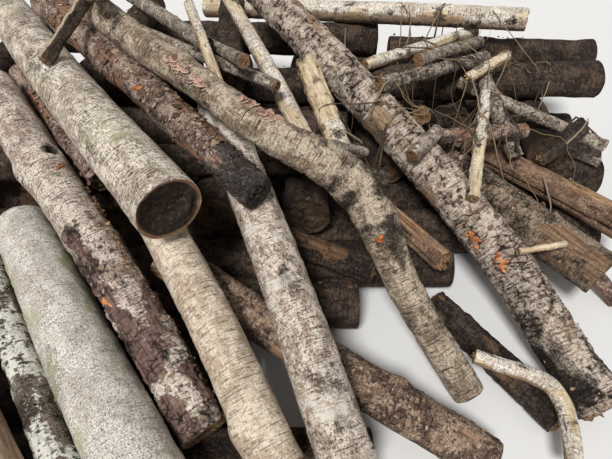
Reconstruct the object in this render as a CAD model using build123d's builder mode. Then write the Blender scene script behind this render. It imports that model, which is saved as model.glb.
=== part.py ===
from build123d import *
from dataclasses import dataclass
from math import cos, radians, sin, sqrt
import os

import numpy as np

# Heap of cut logs, in millimetres, Z up. A log is given by where it lies in plan, its direction, its
# length and its girth. How high it lies is worked out: it comes down on the logs laid before it until
# it rests, as a real one would. The heap's front is toward -Y.

# Clear space between two logs that rest on each other
SEAT_GAP = 0.1
# Spacing of the test balls along a log, as a share of its radius, and their growth, with which the row
# of them wraps the log
BALL_STEP = 0.12
BALL_WRAP = 1 + BALL_STEP**2 / 8
# How far, as a share of a log's length, its balance point may lie outside the span of its two rests
REACH = 0.13
# A shorter span between two rests, as a share of the length, is a crest that the log teeters on
SHORTEST_SPAN = 0.12
SEARCH_MARGIN = 60
BESIDE_ROUNDS = 2
DROP_HEIGHT = 2500
ROLL_DISTANCE = 1500
# Rounds of settling: careful ones with part of each step, then full ones
CAREFUL_ROUNDS = 10
FULL_ROUNDS = 4
CAREFUL_STEP = 0.5


@dataclass
class Log:
    """A log with its front end centre in plan, its heading from front to back (degrees from +X toward
    +Y), its length along the wood, and its girth at both ends. bow holds sideways offsets and rise
    upward offsets at even stations, and swell the girth there against the plain taper."""

    name: str
    front: tuple
    heading: float
    length: float
    front_d: float
    back_d: float
    bow: tuple = (0, 0)
    rise: tuple = (0, 0)
    swell: tuple = (1, 1)
    front_z: float = 0
    back_z: float = 0

    def stations(self):
        count = max(len(self.bow), len(self.rise), len(self.swell))
        return np.linspace(0, 1, count)

    def along(self, values, shares):
        return np.interp(shares, np.linspace(0, 1, len(values)), values)

    def radius(self, shares):
        taper = self.front_d + (self.back_d - self.front_d) * shares
        return taper / 2 * self.along(self.swell, shares)

    def flatness(self):
        incline = (self.back_z - self.front_z) / self.length
        return sqrt(max(1 - incline**2, 0.2))

    def axis(self, shares):
        """Centre line points at these shares of the length."""
        direction = radians(self.heading)
        run = self.length * self.flatness() * shares
        aside = self.along(self.bow, shares)
        x = self.front[0] + cos(direction) * run - sin(direction) * aside
        y = self.front[1] + sin(direction) * run + cos(direction) * aside
        z = self.front_z + (self.back_z - self.front_z) * shares + self.along(self.rise, shares)
        return np.column_stack([x, y, z])

    def balls(self):
        mean_radius = (self.front_d + self.back_d) / 4
        count = int(self.length / (BALL_STEP * mean_radius)) + 2
        return np.linspace(0, 1, count)


def runs_of(logs):
    """All straight runs of these logs: both end points and both end radii."""
    starts, ends, start_radii, end_radii = [], [], [], []
    for log in logs:
        points = log.axis(log.stations())
        radii = log.radius(log.stations())
        starts.append(points[:-1])
        ends.append(points[1:])
        start_radii.append(radii[:-1])
        end_radii.append(radii[1:])
    return tuple(np.concatenate(part) for part in (starts, ends, start_radii, end_radii))


def clearance(points, runs):
    """Distance from each point to the nearest run's surface, each run a round bar with flat ends."""
    starts, ends, start_radii, end_radii = runs
    span = ends - starts
    length = np.linalg.norm(span, axis=1)
    unit = span / length[:, None]
    offset = points[:, None, :] - starts[None]
    along = np.einsum("prc,rc->pr", offset, unit)
    across = np.linalg.norm(offset - along[..., None] * unit[None], axis=2)
    share = np.clip(along / length, 0, 1)
    beside = across - (start_radii + (end_radii - start_radii) * share)
    beyond = np.maximum(-along, along - length)
    outside = np.hypot(np.maximum(beside, 0), np.maximum(beyond, 0))
    inside = np.minimum(np.maximum(beside, beyond), 0)
    return (outside + inside).min(axis=1)


def travel(points, radii, runs, direction, limit):
    """How far balls at these points can move along the direction before one touches a run."""
    moved = np.zeros(len(points))
    for _ in range(300):
        gap = clearance(points + direction * moved[:, None], runs) - radii - SEAT_GAP
        step = np.where(moved < limit, np.maximum(gap, 0), 0)
        moved += step
        if step.max() < 0.004:
            break
    return np.minimum(moved, limit)


def near(log, laid, margin):
    """The laid logs whose box in plan comes within the margin of this log's."""
    points = log.axis(log.stations())[:, :2]
    reach = log.radius(log.stations()).max() + margin
    low, high = points.min(axis=0) - reach, points.max(axis=0) + reach
    close = []
    for other in laid:
        centres = other.axis(other.stations())[:, :2]
        girth = other.radius(other.stations()).max()
        if (centres.max(axis=0) + girth > low).all() and (centres.min(axis=0) - girth < high).all():
            close.append(other)
    return close


def upper_hull(shares, heights):
    """Indexes of the points of the tight line laid over the heights."""
    hull = []
    for index in range(len(shares)):
        while len(hull) > 1:
            first, last = hull[-2], hull[-1]
            rise_last = (heights[last] - heights[first]) * (shares[index] - shares[first])
            rise_index = (heights[index] - heights[first]) * (shares[last] - shares[first])
            if rise_last > rise_index:
                break
            hull.pop()
        hull.append(index)
    return hull


def held_span(shares, heights, balance):
    """The two rests: the hull's span over the balance point, or the longer one beside it where the log
    would only teeter on one crest."""
    hull = upper_hull(shares, heights)
    spans = list(zip(hull[:-1], hull[1:]))
    widths = [shares[last] - shares[first] for first, last in spans]
    over = next(number for number, (_, last) in enumerate(spans) if shares[last] >= balance)
    if widths[over] >= SHORTEST_SPAN:
        return spans[over]
    reachable = []
    for (first, last), width in zip(spans, widths):
        if max(shares[first] - balance, balance - shares[last]) <= REACH:
            reachable.append((width, first, last))
    return max(reachable)[1:]


def rest(log, laid):
    """Lowers the log onto the ground and the laid logs: its two rests hold its balance point."""
    shares = log.balls()
    radii = log.radius(shares)
    balance = (shares * radii**2).sum() / (radii**2).sum()
    down = np.array([0, 0, -1])
    below = near(log, laid, SEARCH_MARGIN)
    if log.front_z == 0:
        log.front_z, log.back_z = radii[0], radii[-1]
    for step in [CAREFUL_STEP] * CAREFUL_ROUNDS + [1] * FULL_ROUNDS:
        points = log.axis(shares)
        points[:, 2] = DROP_HEIGHT
        lowest = radii * log.flatness()
        heights = lowest
        if below:
            fall = travel(points, radii * BALL_WRAP, runs_of(below), down, DROP_HEIGHT)
            heights = np.maximum(DROP_HEIGHT - fall, lowest)
        heights = heights - log.along(log.rise, shares)
        first, last = held_span(shares, heights, balance)
        slope = (heights[last] - heights[first]) / (shares[last] - shares[first])
        front_z = heights[first] - slope * shares[first]
        log.front_z += step * (front_z - log.front_z)
        log.back_z += step * (front_z + slope - log.back_z)


def roll(log, laid, away):
    """Moves the log, at its height, in plan until it touches the laid logs; away points from them."""
    shares = log.balls()
    radii = log.radius(shares)
    outward = np.array([cos(radians(away)), sin(radians(away)), 0])
    points = log.axis(shares) + outward * ROLL_DISTANCE
    moved = travel(points, radii * BALL_WRAP, runs_of(laid), -outward, 2 * ROLL_DISTANCE).min()
    shift = outward * (ROLL_DISTANCE - moved)
    log.front = (log.front[0] + shift[0], log.front[1] + shift[1])


heap = []
nodes = {}


def lay(name, node=None, **shape):
    """Adds a log that comes down from above. node names the group that it is stored with."""
    log = Log(name, **shape)
    rest(log, heap)
    heap.append(log)
    nodes.setdefault(node or name, []).append(log)
    return log


def lay_beside(name, away, node=None, standing_on=(), **shape):
    """Adds a log that lies on the ground, or on the logs named, and against the heap's side."""
    log = Log(name, **shape)
    beside = [other for other in heap if other not in standing_on]
    for _ in range(BESIDE_ROUNDS):
        rest(log, standing_on)
        if beside:
            roll(log, beside, away)
    heap.append(log)
    nodes.setdefault(node or name, []).append(log)
    return log


# Bed of the heap: logs side by side on the ground, across the heap from left to right. Row by row from
# the front, with where its left and right ends lie.
BED_D = 150
BED_FRONT_Y = 250
bed_rows = [
    ("front", -1150, 120),
    ("front", -1250, 150),
    ("front", -1300, -180),
    ("front", -1250, -160),
    ("front", -1350, 150),
    ("middle", -1300, 450),
    ("middle", -1350, 960),
    ("middle", -1300, 980),
    ("middle", -1250, 1100),
    ("back", -1350, 1150),
    ("back", -1300, 1100),
    ("back", -1200, 1000),
    ("back", -1150, 900),
]
bed = []
for number, (group, left, right) in enumerate(bed_rows):
    row = lay_beside(
        f"bed_{number + 1}",
        away=90,
        node=f"bed_logs_{group}",
        front=(left, BED_FRONT_Y + number * BED_D),
        heading=0,
        length=right - left,
        front_d=BED_D,
        back_d=BED_D,
    )
    bed.append(row)

# Speckled log: thick, smooth and level, low at the left front
lay("speckled_log", front=(-140, 90), heading=127, length=1150, front_d=165, back_d=160, bow=(0, 6, 0))

# Lichen log: thinner, against the speckled log's left side
lay_beside(
    "lichen_log",
    away=217,
    standing_on=bed,
    front=(-400, 60),
    heading=127.5,
    length=1100,
    front_d=85,
    back_d=78,
    bow=(0, 5, 0),
)

# Peeled log: barkless, the outermost at the left front
lay_beside(
    "peeled_log",
    away=220,
    standing_on=bed,
    front=(-520, 130),
    heading=132,
    length=1000,
    front_d=150,
    back_d=145,
    bow=(0, 6, 0),
)

# Hidden second layer: logs from front to back on the bed
BEARER_D = 140
bearers = [
    ("left", (-1130, 1110), 92, 1000),
    ("left", (-830, 1140), 91, 950),
    ("left", (-550, 1060), 89, 1020),
    ("left", (-280, 1080), 92, 1000),
    ("right", (0, 1060), 90, 1000),
    ("right", (270, 1300), 93, 800),
    ("right", (560, 1560), 88, 560),
    ("right", (860, 1400), 90, 720),
]
for number, (group, front, heading, length) in enumerate(bearers):
    lay(
        f"bearer_{number + 1}",
        node=f"bearer_logs_{group}",
        front=front,
        heading=heading,
        length=length,
        front_d=BEARER_D,
        back_d=BEARER_D,
    )

# Hidden third layer: logs across the bearers
CROSS_D = 130
FRONT_CROSS_D = 100
crosses = [
    ("left", (-1230, 1160), 2, 1400, FRONT_CROSS_D),
    ("left", (-1250, 1370), -2, 1380, CROSS_D),
    ("left", (-1200, 1600), 1, 1350, CROSS_D),
    ("left", (-1150, 2050), -1, 1450, CROSS_D),
    ("right", (230, 1640), 2, 850, CROSS_D),
    ("right", (335, 1895), -3, 800, CROSS_D),
]
for number, (group, front, heading, length, diameter) in enumerate(crosses):
    lay(
        f"cross_{number + 1}",
        node=f"cross_logs_{group}",
        front=front,
        heading=heading,
        length=length,
        front_d=diameter,
        back_d=diameter,
    )

# Hidden fourth layer, which carries the crest
UPPER_D = 105
uppers = [((-1050, 1400), 84, 680), ((-700, 1390), 85, 700), ((-250, 1430), 95, 660)]
for number, (front, heading, length) in enumerate(uppers):
    lay(
        f"upper_{number + 1}",
        node="upper_logs",
        front=front,
        heading=heading,
        length=length,
        front_d=UPPER_D,
        back_d=UPPER_D,
    )

# Crossing log: runs down to the right under the two poles at the front
lay("crossing_log", front=(430, 410), heading=151, length=950, front_d=112, back_d=108, bow=(0, 7, 0))

# Dark log: short, in the shade behind the mottled log
lay("dark_log", front=(190, 885), heading=155, length=330, front_d=75, back_d=75)

# Half buried log: dark and rough, on the ground at the right front
lay("half_buried_log", front=(636, 512), heading=124, length=440, front_d=85, back_d=85)

# Split log: yellowish, between the forked log and the rough barked one
lay("split_log", front=(395, 915), heading=123, length=330, front_d=66, back_d=66)

# Brown log and the fibrous one beside it, on the right slope of the heap
lay("brown_log", front=(835, 865), heading=129, length=700, front_d=135, back_d=128, bow=(0, 6, 0))
lay("fibrous_log", front=(985, 1035), heading=131, length=620, front_d=98, back_d=92, bow=(0, -5, 0))

# Ringed log: bent, with a hollow front end, up the left side
ringed_log = lay(
    "ringed_log",
    front=(-212, 416),
    heading=129,
    length=1200,
    front_d=108,
    back_d=132,
    bow=(0, -12, -6, 0),
)

# Mottled log: thick pole in the middle of the front
lay("mottled_log", front=(93, 335), heading=111, length=1050, front_d=122, back_d=115, bow=(0, -8, 0))

# Beige pole: between the ringed and the mottled log
lay("beige_pole", front=(-53, 337), heading=121, length=760, front_d=112, back_d=105, bow=(0, -10, 0))

# Shaded log: low between the ringed log and the one with the sawn end
lay("shaded_log", front=(-554, 1018), heading=129.5, length=600, front_d=70, back_d=72, bow=(0, 4, 0))

# Log with the sawn end: the thickest on top, at the left
lay(
    "sawn_end_log",
    front=(-300, 775),
    heading=128,
    length=1500,
    front_d=158,
    back_d=130,
    bow=(0, 10, 8, 0),
)

# Charred log: burnt at its front end
lay("charred_log", front=(-115, 880), heading=134.5, length=1050, front_d=95, back_d=98, bow=(0, -6, 0))

# Pale pole and the shredded log beside it
lay("pale_pole", front=(30, 1095), heading=112, length=950, front_d=60, back_d=50, bow=(0, -7, 0))
lay("shredded_log", front=(115, 1090), heading=106, length=440, front_d=70, back_d=70)

# Slim poles on the crest
lay("broken_pole", front=(-85, 1280), heading=141, length=800, front_d=36, back_d=32, bow=(0, 6, 0))
lay("sawn_pole", front=(-305, 1450), heading=126, length=700, front_d=50, back_d=46, bow=(0, -5, 0))
lay("mottled_pole", front=(-175, 1285), heading=114, length=650, front_d=38, back_d=34, bow=(0, 5, 0))

# Forked log: from the ground at the right front up to the crest, with a broken stub at its bend
forked_log = lay(
    "forked_log",
    front=(450, 615),
    heading=141.5,
    length=1590,
    front_d=87,
    back_d=87,
    bow=(40, -17, -78, 14, 14, 10, -10),
    rise=(0, 57, 163, 180, 128, 60, 0),
)

# Rough barked log: thick, flared at its butt, down the right side
lay(
    "rough_bark_log",
    front=(765, 550),
    heading=124,
    length=1750,
    front_d=125,
    back_d=125,
    bow=(32, -35, -30, -2, 32),
)

# Pinkish log: from the ground up onto the bed, beside the brown one
lay("pinkish_log", front=(960, 890), heading=128, length=330, front_d=48, back_d=48)

# Loose stock on the right of the heap's back
lay("background_rail", front=(1020, 1360), heading=156, length=540, front_d=42, back_d=42)
lay("dark_rail", front=(650, 1660), heading=213, length=500, front_d=48, back_d=48)
lay("grey_branch", front=(705, 1310), heading=113, length=300, front_d=52, back_d=52)
lay("reddish_log", front=(720, 1350), heading=197, length=330, front_d=48, back_d=48)
lay("short_block", front=(470, 1445), heading=228, length=190, front_d=62, back_d=62)
lay("collared_pole", front=(665, 1890), heading=212, length=540, front_d=46, back_d=46)
lay("middle_rail", front=(670, 1830), heading=227, length=450, front_d=44, back_d=44)

# Top rail: long, slightly bowed, along the back
lay("top_rail_log", front=(-450, 2255), heading=-20, length=1350, front_d=88, back_d=80, bow=(0, 14, 0))

# Small stock that leans or lies at the right
lay("propped_pole", front=(471, 1022), heading=74, length=420, front_d=38, back_d=38)
lay(
    "bent_pole",
    front=(600, 385),
    heading=122,
    length=310,
    front_d=40,
    back_d=40,
    bow=(0, -52, -92, -105, -78, -38, 0),
)
lay("pale_branch", front=(725, 920), heading=194.6, length=150, front_d=19, back_d=19)
lay("small_rail", front=(1067, 1405), heading=139.6, length=130, front_d=33, back_d=33)
lay("black_slab", front=(770, 1285), heading=30, length=190, front_d=70, back_d=70)

# Short pieces on the crest and behind it
lay("grey_stick", front=(48, 1023), heading=42.2, length=200, front_d=24, back_d=24)
lay("grey_chunk", front=(398, 1234), heading=226, length=130, front_d=45, back_d=45)
lay("splintered_rail", front=(680, 1560), heading=204, length=160, front_d=35, back_d=35)
lay("bark_strip", front=(-691, 1216), heading=71.2, length=240, front_d=40, back_d=40)
lay("split_wedge", front=(-560, 1330), heading=110, length=230, front_d=50, back_d=50)
lay("pale_stick", front=(-250, 1270), heading=112, length=330, front_d=32, back_d=32)

# The forked log's other arm: a stub broken off at the bend, where it starts inside the wood
STUB_BEND = 2
STUB_HEADING = 9
STUB_INCLINE = 9
STUB_LENGTH = 92
STUB_D = 62

# The ringed log has rotted hollow from its front end
HOLLOW_D = 62
HOLLOW_DEPTH = 90


def log_solid(log):
    """A log of even girth is a round bar, mitred where it bends. One that tapers is a chain of straight
    runs through round sections."""
    shares = log.stations()
    points = [Vector(*point) for point in log.axis(shares)]
    radii = log.radius(shares)
    span = points[1] - points[0]
    if len(shares) == 2:
        with BuildPart(Plane(origin=points[0], z_dir=span)) as solid:
            Cylinder(radii[0], span.length, align=(Align.CENTER, Align.CENTER, Align.MIN))
        return solid.part
    if log.front_d == log.back_d:
        with BuildPart() as solid:
            with BuildLine() as centre_line:
                Polyline(*points)
            with BuildSketch(Plane(origin=points[0], z_dir=span)):
                Circle(radii[0])
            sweep(path=centre_line.line, transition=Transition.RIGHT)
        return solid.part
    with BuildPart() as solid:
        for index, (point, radius) in enumerate(zip(points, radii)):
            before = points[max(index - 1, 0)]
            after = points[min(index + 1, len(points) - 1)]
            with BuildSketch(Plane(origin=point, x_dir=(0, 0, 1), z_dir=after - before)):
                Circle(radius)
        loft(ruled=True)
    return solid.part


def stub_solid(log):
    """The broken arm of a fork, from the log's centre line at its bend outward."""
    bend = Vector(*log.axis(log.stations())[STUB_BEND])
    flat = cos(radians(STUB_INCLINE))
    turn = radians(STUB_HEADING)
    outward = Vector(flat * cos(turn), flat * sin(turn), sin(radians(STUB_INCLINE)))
    with BuildPart(Plane(origin=bend, z_dir=outward)) as stub:
        Cylinder(STUB_D / 2, STUB_LENGTH, align=(Align.CENTER, Align.CENTER, Align.MIN))
    return stub.part


def hollow_solid(log):
    """The hollow in a log's front end, along its first straight run."""
    start, after = [Vector(*point) for point in log.axis(log.stations())[:2]]
    with BuildPart(Plane(origin=start, z_dir=after - start)) as hollow:
        Cylinder(HOLLOW_D / 2, HOLLOW_DEPTH, align=(Align.CENTER, Align.CENTER, Align.MIN))
    return hollow.part


finished = {}
for name, logs in nodes.items():
    with BuildPart() as stock:
        for log in logs:
            add(log_solid(log))
        if name == "forked_log":
            add(stub_solid(forked_log))
        if name == "ringed_log":
            add(hollow_solid(ringed_log), mode=Mode.SUBTRACT)
    finished[name] = stock.part

# The heap's reference point is the middle of its box, on the ground
box = Compound(list(finished.values())).bounding_box()
to_reference = Location((-box.center().X, -box.center().Y, -box.min.Z))

os.makedirs("parts", exist_ok=True)
for name, part in finished.items():
    placed = part.moved(to_reference)
    placed.label = name
    export_step(placed, f"parts/{name}.step")

print("heap", box.size.X, box.size.Y, box.size.Z, "nodes", len(finished), "logs", len(heap))
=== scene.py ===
import bmesh
import bpy
import numpy as np
from mathutils.bvhtree import BVHTree
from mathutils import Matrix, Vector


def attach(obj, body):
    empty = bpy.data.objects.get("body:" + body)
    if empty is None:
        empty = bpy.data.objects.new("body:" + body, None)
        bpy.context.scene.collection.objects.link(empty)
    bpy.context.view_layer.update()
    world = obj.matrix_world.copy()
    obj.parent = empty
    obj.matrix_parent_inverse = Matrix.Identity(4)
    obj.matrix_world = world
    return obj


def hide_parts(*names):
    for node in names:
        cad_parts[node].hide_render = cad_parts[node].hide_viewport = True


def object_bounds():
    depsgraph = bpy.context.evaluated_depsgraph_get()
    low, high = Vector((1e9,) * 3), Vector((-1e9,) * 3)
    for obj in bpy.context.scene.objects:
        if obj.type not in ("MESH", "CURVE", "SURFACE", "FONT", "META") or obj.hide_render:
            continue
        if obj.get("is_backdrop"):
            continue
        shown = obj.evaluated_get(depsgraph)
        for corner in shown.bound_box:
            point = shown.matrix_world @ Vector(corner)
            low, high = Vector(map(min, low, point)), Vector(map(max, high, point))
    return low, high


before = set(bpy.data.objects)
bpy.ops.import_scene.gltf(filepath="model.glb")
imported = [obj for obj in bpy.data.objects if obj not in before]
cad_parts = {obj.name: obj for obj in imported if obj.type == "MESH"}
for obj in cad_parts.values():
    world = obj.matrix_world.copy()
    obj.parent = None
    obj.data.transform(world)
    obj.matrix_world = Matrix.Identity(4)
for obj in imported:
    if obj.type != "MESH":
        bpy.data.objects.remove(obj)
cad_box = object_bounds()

# Camera and studio: the view stands just in front of the heap at chest height and looks down on it by
# 45 degrees. The floor is plain and pale, one broad soft lamp stands over the left shoulder and the
# sky fills the shade.
FOCAL_PIXELS = 480
PICTURE_WIDTH_PIXELS = 612
CAMERA_PLACE = (0.100, -1.168, 1.230)
LOOK_DOWN = np.radians(45)
lens = bpy.data.cameras.new("view")
lens.lens = lens.sensor_width * FOCAL_PIXELS / PICTURE_WIDTH_PIXELS
camera = bpy.data.objects.new("view", lens)
camera.location = CAMERA_PLACE
camera.rotation_euler = (LOOK_DOWN, 0, 0)
bpy.context.scene.collection.objects.link(camera)
bpy.context.scene.camera = camera
bpy.context.scene.view_settings.view_transform = "Standard"

FLOOR_REACH = 30
FLOOR_COLOUR = (0.72, 0.71, 0.69, 1)
FLOOR_DROP = 0.001
FLOOR_ROUGHNESS = 0.9
corners = [(x * FLOOR_REACH, y * FLOOR_REACH, -FLOOR_DROP) for x, y in ((-1, -1), (1, -1), (1, 1), (-1, 1))]
floor_mesh = bpy.data.meshes.new("floor")
floor_mesh.from_pydata(corners, [], [(0, 1, 2, 3)])
floor = bpy.data.objects.new("floor", floor_mesh)
bpy.context.scene.collection.objects.link(floor)
floor_finish = bpy.data.materials.new("floor")
floor_finish.use_nodes = True
floor_shader = floor_finish.node_tree.nodes["Principled BSDF"]
floor_shader.inputs["Base Color"].default_value = FLOOR_COLOUR
floor_shader.inputs["Roughness"].default_value = FLOOR_ROUGHNESS
floor_mesh.materials.append(floor_finish)
floor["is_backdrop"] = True

SKY_LEVEL = 0.4
SKY_COLOUR = (1, 1, 1, 1)
sky = bpy.data.worlds.new("sky")
sky.use_nodes = True
sky.node_tree.nodes["Background"].inputs["Color"].default_value = SKY_COLOUR
sky.node_tree.nodes["Background"].inputs["Strength"].default_value = SKY_LEVEL
bpy.context.scene.world = sky

LAMP_LEVEL = 3.1
LAMP_SPREAD = np.radians(14)
LAMP_TURN = (np.radians(32), np.radians(-14), 0)
lamp_data = bpy.data.lights.new("soft_lamp", "SUN")
lamp_data.energy = LAMP_LEVEL
lamp_data.angle = LAMP_SPREAD
lamp = bpy.data.objects.new("soft_lamp", lamp_data)
lamp.rotation_euler = LAMP_TURN
bpy.context.scene.collection.objects.link(lamp)


# Speckled log: a thick smooth log, low at the left front. Its thin grey bark is whole, with dark and
# pale specks and a greenish film down its sides; both ends are sawn. It lies loose on the bed.
def step(low, high, value):
    """Smooth change from 0 at low to 1 at high: 3 t squared less 2 t cubed."""
    share = np.clip((value - low) / (high - low), 0, 1)
    return share**2 * (3 - 2 * share)


FIELD_GAIN = 1.7


def patches(u, v, around, along, seed, octaves=3):
    """Random field, mostly -1 to 1, that closes round the log: random numbers on a lattice with that many
    cells round and so many to the metre, blended smoothly, and each finer octave at half strength."""
    rng = np.random.default_rng(seed)
    field, strength, reach = np.zeros_like(u), 1.0, 0.0
    for _ in range(octaves):
        columns = max(round(around), 1)
        x, y = u * columns, (v - v.min()) * along
        column, row = np.floor(x).astype(int), np.floor(y).astype(int)
        values = rng.uniform(-1, 1, (row.max() + 2, columns))
        across, down = step(0, 1, x - column), step(0, 1, y - row)
        left, right = column % columns, (column + 1) % columns
        near_row = values[row, left] * (1 - across) + values[row, right] * across
        next_row = values[row + 1, left] * (1 - across) + values[row + 1, right] * across
        field += strength * (near_row * (1 - down) + next_row * down)
        reach += strength
        strength, around, along = strength / 2, around * 2, along * 2
    return field / reach * FIELD_GAIN


PLATE_MARGIN = 0.1
FAR_OFF = 9.0


def plates(u, v, around, along, seed):
    """Cracked plates: each cell of a lattice round the log has one centre at a random place. Gives how
    far inside its plate a point lies, 0 on the seam between two, and a random number for each plate."""
    rng = np.random.default_rng(seed)
    columns = round(around)
    x, y = u * columns, (v - v.min()) * along + 1
    column, row = np.floor(x).astype(int), np.floor(y).astype(int)
    rows = row.max() + 2
    centre_x, centre_y, number = rng.uniform(PLATE_MARGIN, 1 - PLATE_MARGIN, (3, rows, columns))
    first, second, shade = np.full(u.shape, FAR_OFF), np.full(u.shape, FAR_OFF), np.zeros(u.shape)
    for up in (-1, 0, 1):
        for aside in (-1, 0, 1):
            cell = (row + up, (column + aside) % columns)
            distance = np.hypot(column + aside + centre_x[cell] - x, row + up + centre_y[cell] - y)
            closer = distance < first
            second = np.where(closer, first, np.minimum(second, distance))
            shade = np.where(closer, number[cell], shade)
            first = np.where(closer, distance, first)
    return second - first, shade


SECTION_GAP = 0.014
NARROW = 0.72
BACKWARD = (0.01, 1, 0)


def sections_of(points):
    """Centres and radii of the round sections of a log's solid, from its near end: its corner points lie
    on these sections, so sorted along the log they come in bunches with gaps between. A much narrower
    section is a bore's or a stub's and doesn't count."""
    middle = points.mean(axis=0)
    along = np.linalg.svd(points - middle, full_matrices=False)[2][0]
    along = along if along @ BACKWARD > 0 else -along
    place = (points - middle) @ along
    order = np.argsort(place)
    bunches = np.split(points[order], np.flatnonzero(np.diff(place[order]) > SECTION_GAP) + 1)
    centres = np.array([bunch.mean(axis=0) for bunch in bunches])
    radii = np.array([np.linalg.norm(bunch - bunch.mean(axis=0), axis=1).max() for bunch in bunches])
    full = radii > NARROW * np.median(radii)
    return centres[full], radii[full]


MERGE_DISTANCE = 0.0001


def corners_of(node):
    """The corner points of a node's solids, those that coincide made one, and the corners of its faces."""
    merged = bmesh.new()
    merged.from_mesh(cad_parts[node].data)
    bmesh.ops.remove_doubles(merged, verts=merged.verts, dist=MERGE_DISTANCE)
    mesh = bpy.data.meshes.new("merged")
    merged.to_mesh(mesh)
    merged.free()
    points = np.empty(len(mesh.vertices) * 3)
    mesh.vertices.foreach_get("co", points)
    mesh.calc_loop_triangles()
    faces = np.empty(len(mesh.loop_triangles) * 3, np.int32)
    mesh.loop_triangles.foreach_get("vertices", faces)
    bpy.data.meshes.remove(mesh)
    return points.reshape(-1, 3), faces.reshape(-1, 3)


def solids_of(node):
    """The corner points of each separate solid of a node: every corner takes the lowest number among
    the corners that it shares a face with, until nothing changes."""
    points, faces = corners_of(node)
    number = np.arange(len(points))
    while True:
        lowest = number.copy()
        np.minimum.at(lowest, faces.ravel(), np.repeat(number[faces].min(axis=1), 3))
        if (lowest == number).all():
            break
        number = lowest
    return [points[number == one] for one in np.unique(number)]


def unit(vectors):
    """Each vector divided by its own length."""
    return vectors / np.linalg.norm(vectors, axis=-1, keepdims=True)


CELL = 0.006
LONG_LOG_CELL = 0.0062
FEWEST_ROWS = 4
FEWEST_COLUMNS = 12


class LogGrid:
    """A log's surface as a grid with square cells. u runs round it, 0 and 1 underneath, 0.25 on the
    right, 0.5 on top; v runs along it in metres from the near end. The line is a cubic through the
    section centres."""

    def __init__(self, centres, radii, cell=CELL):
        stretch = np.concatenate([[0], np.cumsum(np.linalg.norm(np.diff(centres, axis=0), axis=1))])
        self.length = stretch[-1]
        self.girth = 2 * np.pi * radii.mean()
        rows = max(int(self.length / cell), FEWEST_ROWS)
        columns = max(int(self.girth / cell), FEWEST_COLUMNS)
        along = np.linspace(0, self.length, rows)
        slopes = np.gradient(centres, stretch, axis=0)
        part = np.clip(np.searchsorted(stretch, along, side="right") - 1, 0, len(stretch) - 2)
        span = (stretch[part + 1] - stretch[part])[:, None]
        share = (along[:, None] - stretch[part][:, None]) / span
        self.line = (
            (1 + 2 * share) * (1 - share) ** 2 * centres[part]
            + share**2 * (3 - 2 * share) * centres[part + 1]
            + share * (1 - share) ** 2 * span * slopes[part]
            - share**2 * (1 - share) * span * slopes[part + 1]
        )
        self.radius = np.interp(along, stretch, radii)[:, None]
        self.tangent = unit(np.gradient(self.line, along, axis=0))
        self.side = unit(np.cross(self.tangent, (0, 0, 1)))
        self.up = np.cross(self.side, self.tangent)
        self.u, self.v = np.meshgrid(np.arange(columns) / columns, along)

    @classmethod
    def of(cls, node, cell=CELL):
        """The grid of a node that is one log."""
        return cls(*sections_of(corners_of(node)[0]), cell)

    def spokes(self, row):
        """Unit directions from the line outward at each u: down at 0, then right, up and left."""
        turn = 2 * np.pi * self.u[0][:, None]
        return -self.up[row] * np.cos(turn) + self.side[row] * np.sin(turn)

    def patches(self, around, along, seed, octaves=3):
        """The random field over this log."""
        return patches(self.u, self.v, around, along, seed, octaves)

    def plates(self, around, along, seed):
        """The cracked plates of this log."""
        return plates(self.u, self.v, around, along, seed)


def face_grid(rows, columns):
    """Corner numbers of a closed tube of rows by columns points with one pole point at each end, with
    faces outward. The near pole is point 0, and the far pole the last."""
    row, column = np.meshgrid(np.arange(rows - 1), np.arange(columns), indexing="ij")
    beside = (column + 1) % columns
    quads = np.stack(
        [
            1 + row * columns + column,
            1 + (row + 1) * columns + column,
            1 + (row + 1) * columns + beside,
            1 + row * columns + beside,
        ],
        axis=-1,
    ).reshape(-1, 4)
    ring = np.arange(columns)
    turned = (ring + 1) % columns
    first, last = 1, 1 + (rows - 1) * columns
    near_fan = np.stack([np.zeros(columns, int), first + ring, first + turned], axis=-1)
    far_fan = np.stack([last + ring, np.full(columns, 1 + rows * columns), last + turned], axis=-1)
    return quads, np.concatenate([near_fan, far_fan])


def mesh_piece(name, points, quads, triangles, grain, finish, material):
    """Puts the arrays into a mesh that rides on the heap and ends at the ground and the heap's box. grain
    is a point's place in the straight log, and finish its shares of bare wood, dark, growth and cut end."""
    points = np.clip(points, *np.array(cad_box))
    mesh = bpy.data.meshes.new(name)
    mesh.vertices.add(len(points))
    mesh.vertices.foreach_set("co", points.astype(np.float32).ravel())
    corners = np.concatenate([quads.ravel(), triangles.ravel()])
    sizes = np.concatenate([np.full(len(quads), 4), np.full(len(triangles), 3)])
    mesh.loops.add(len(corners))
    mesh.loops.foreach_set("vertex_index", corners.astype(np.int32))
    mesh.polygons.add(len(sizes))
    mesh.polygons.foreach_set("loop_start", (np.cumsum(sizes) - sizes).astype(np.int32))
    mesh.polygons.foreach_set("loop_total", sizes.astype(np.int32))
    mesh.polygons.foreach_set("use_smooth", np.ones(len(sizes), bool))
    mesh.update(calc_edges=True)
    for layer, kind, part, values in (
        ("grain", "FLOAT_VECTOR", "vector", grain),
        ("finish", "FLOAT_COLOR", "color", finish),
    ):
        layer_data = mesh.attributes.new(layer, kind, "POINT").data
        layer_data.foreach_set(part, values.astype(np.float32).ravel())
    mesh.materials.append(material)
    piece = bpy.data.objects.new(name, mesh)
    bpy.context.scene.collection.objects.link(piece)
    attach(piece, "root")
    return piece


CAP_ROWS = 14
CAP_SHARES = (0.06, 0.985)
CRACK_DEPTH = 0.004
DECAY_DEPTH = 0.012
SAWN_ROUGHNESS = 0.003


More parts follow.
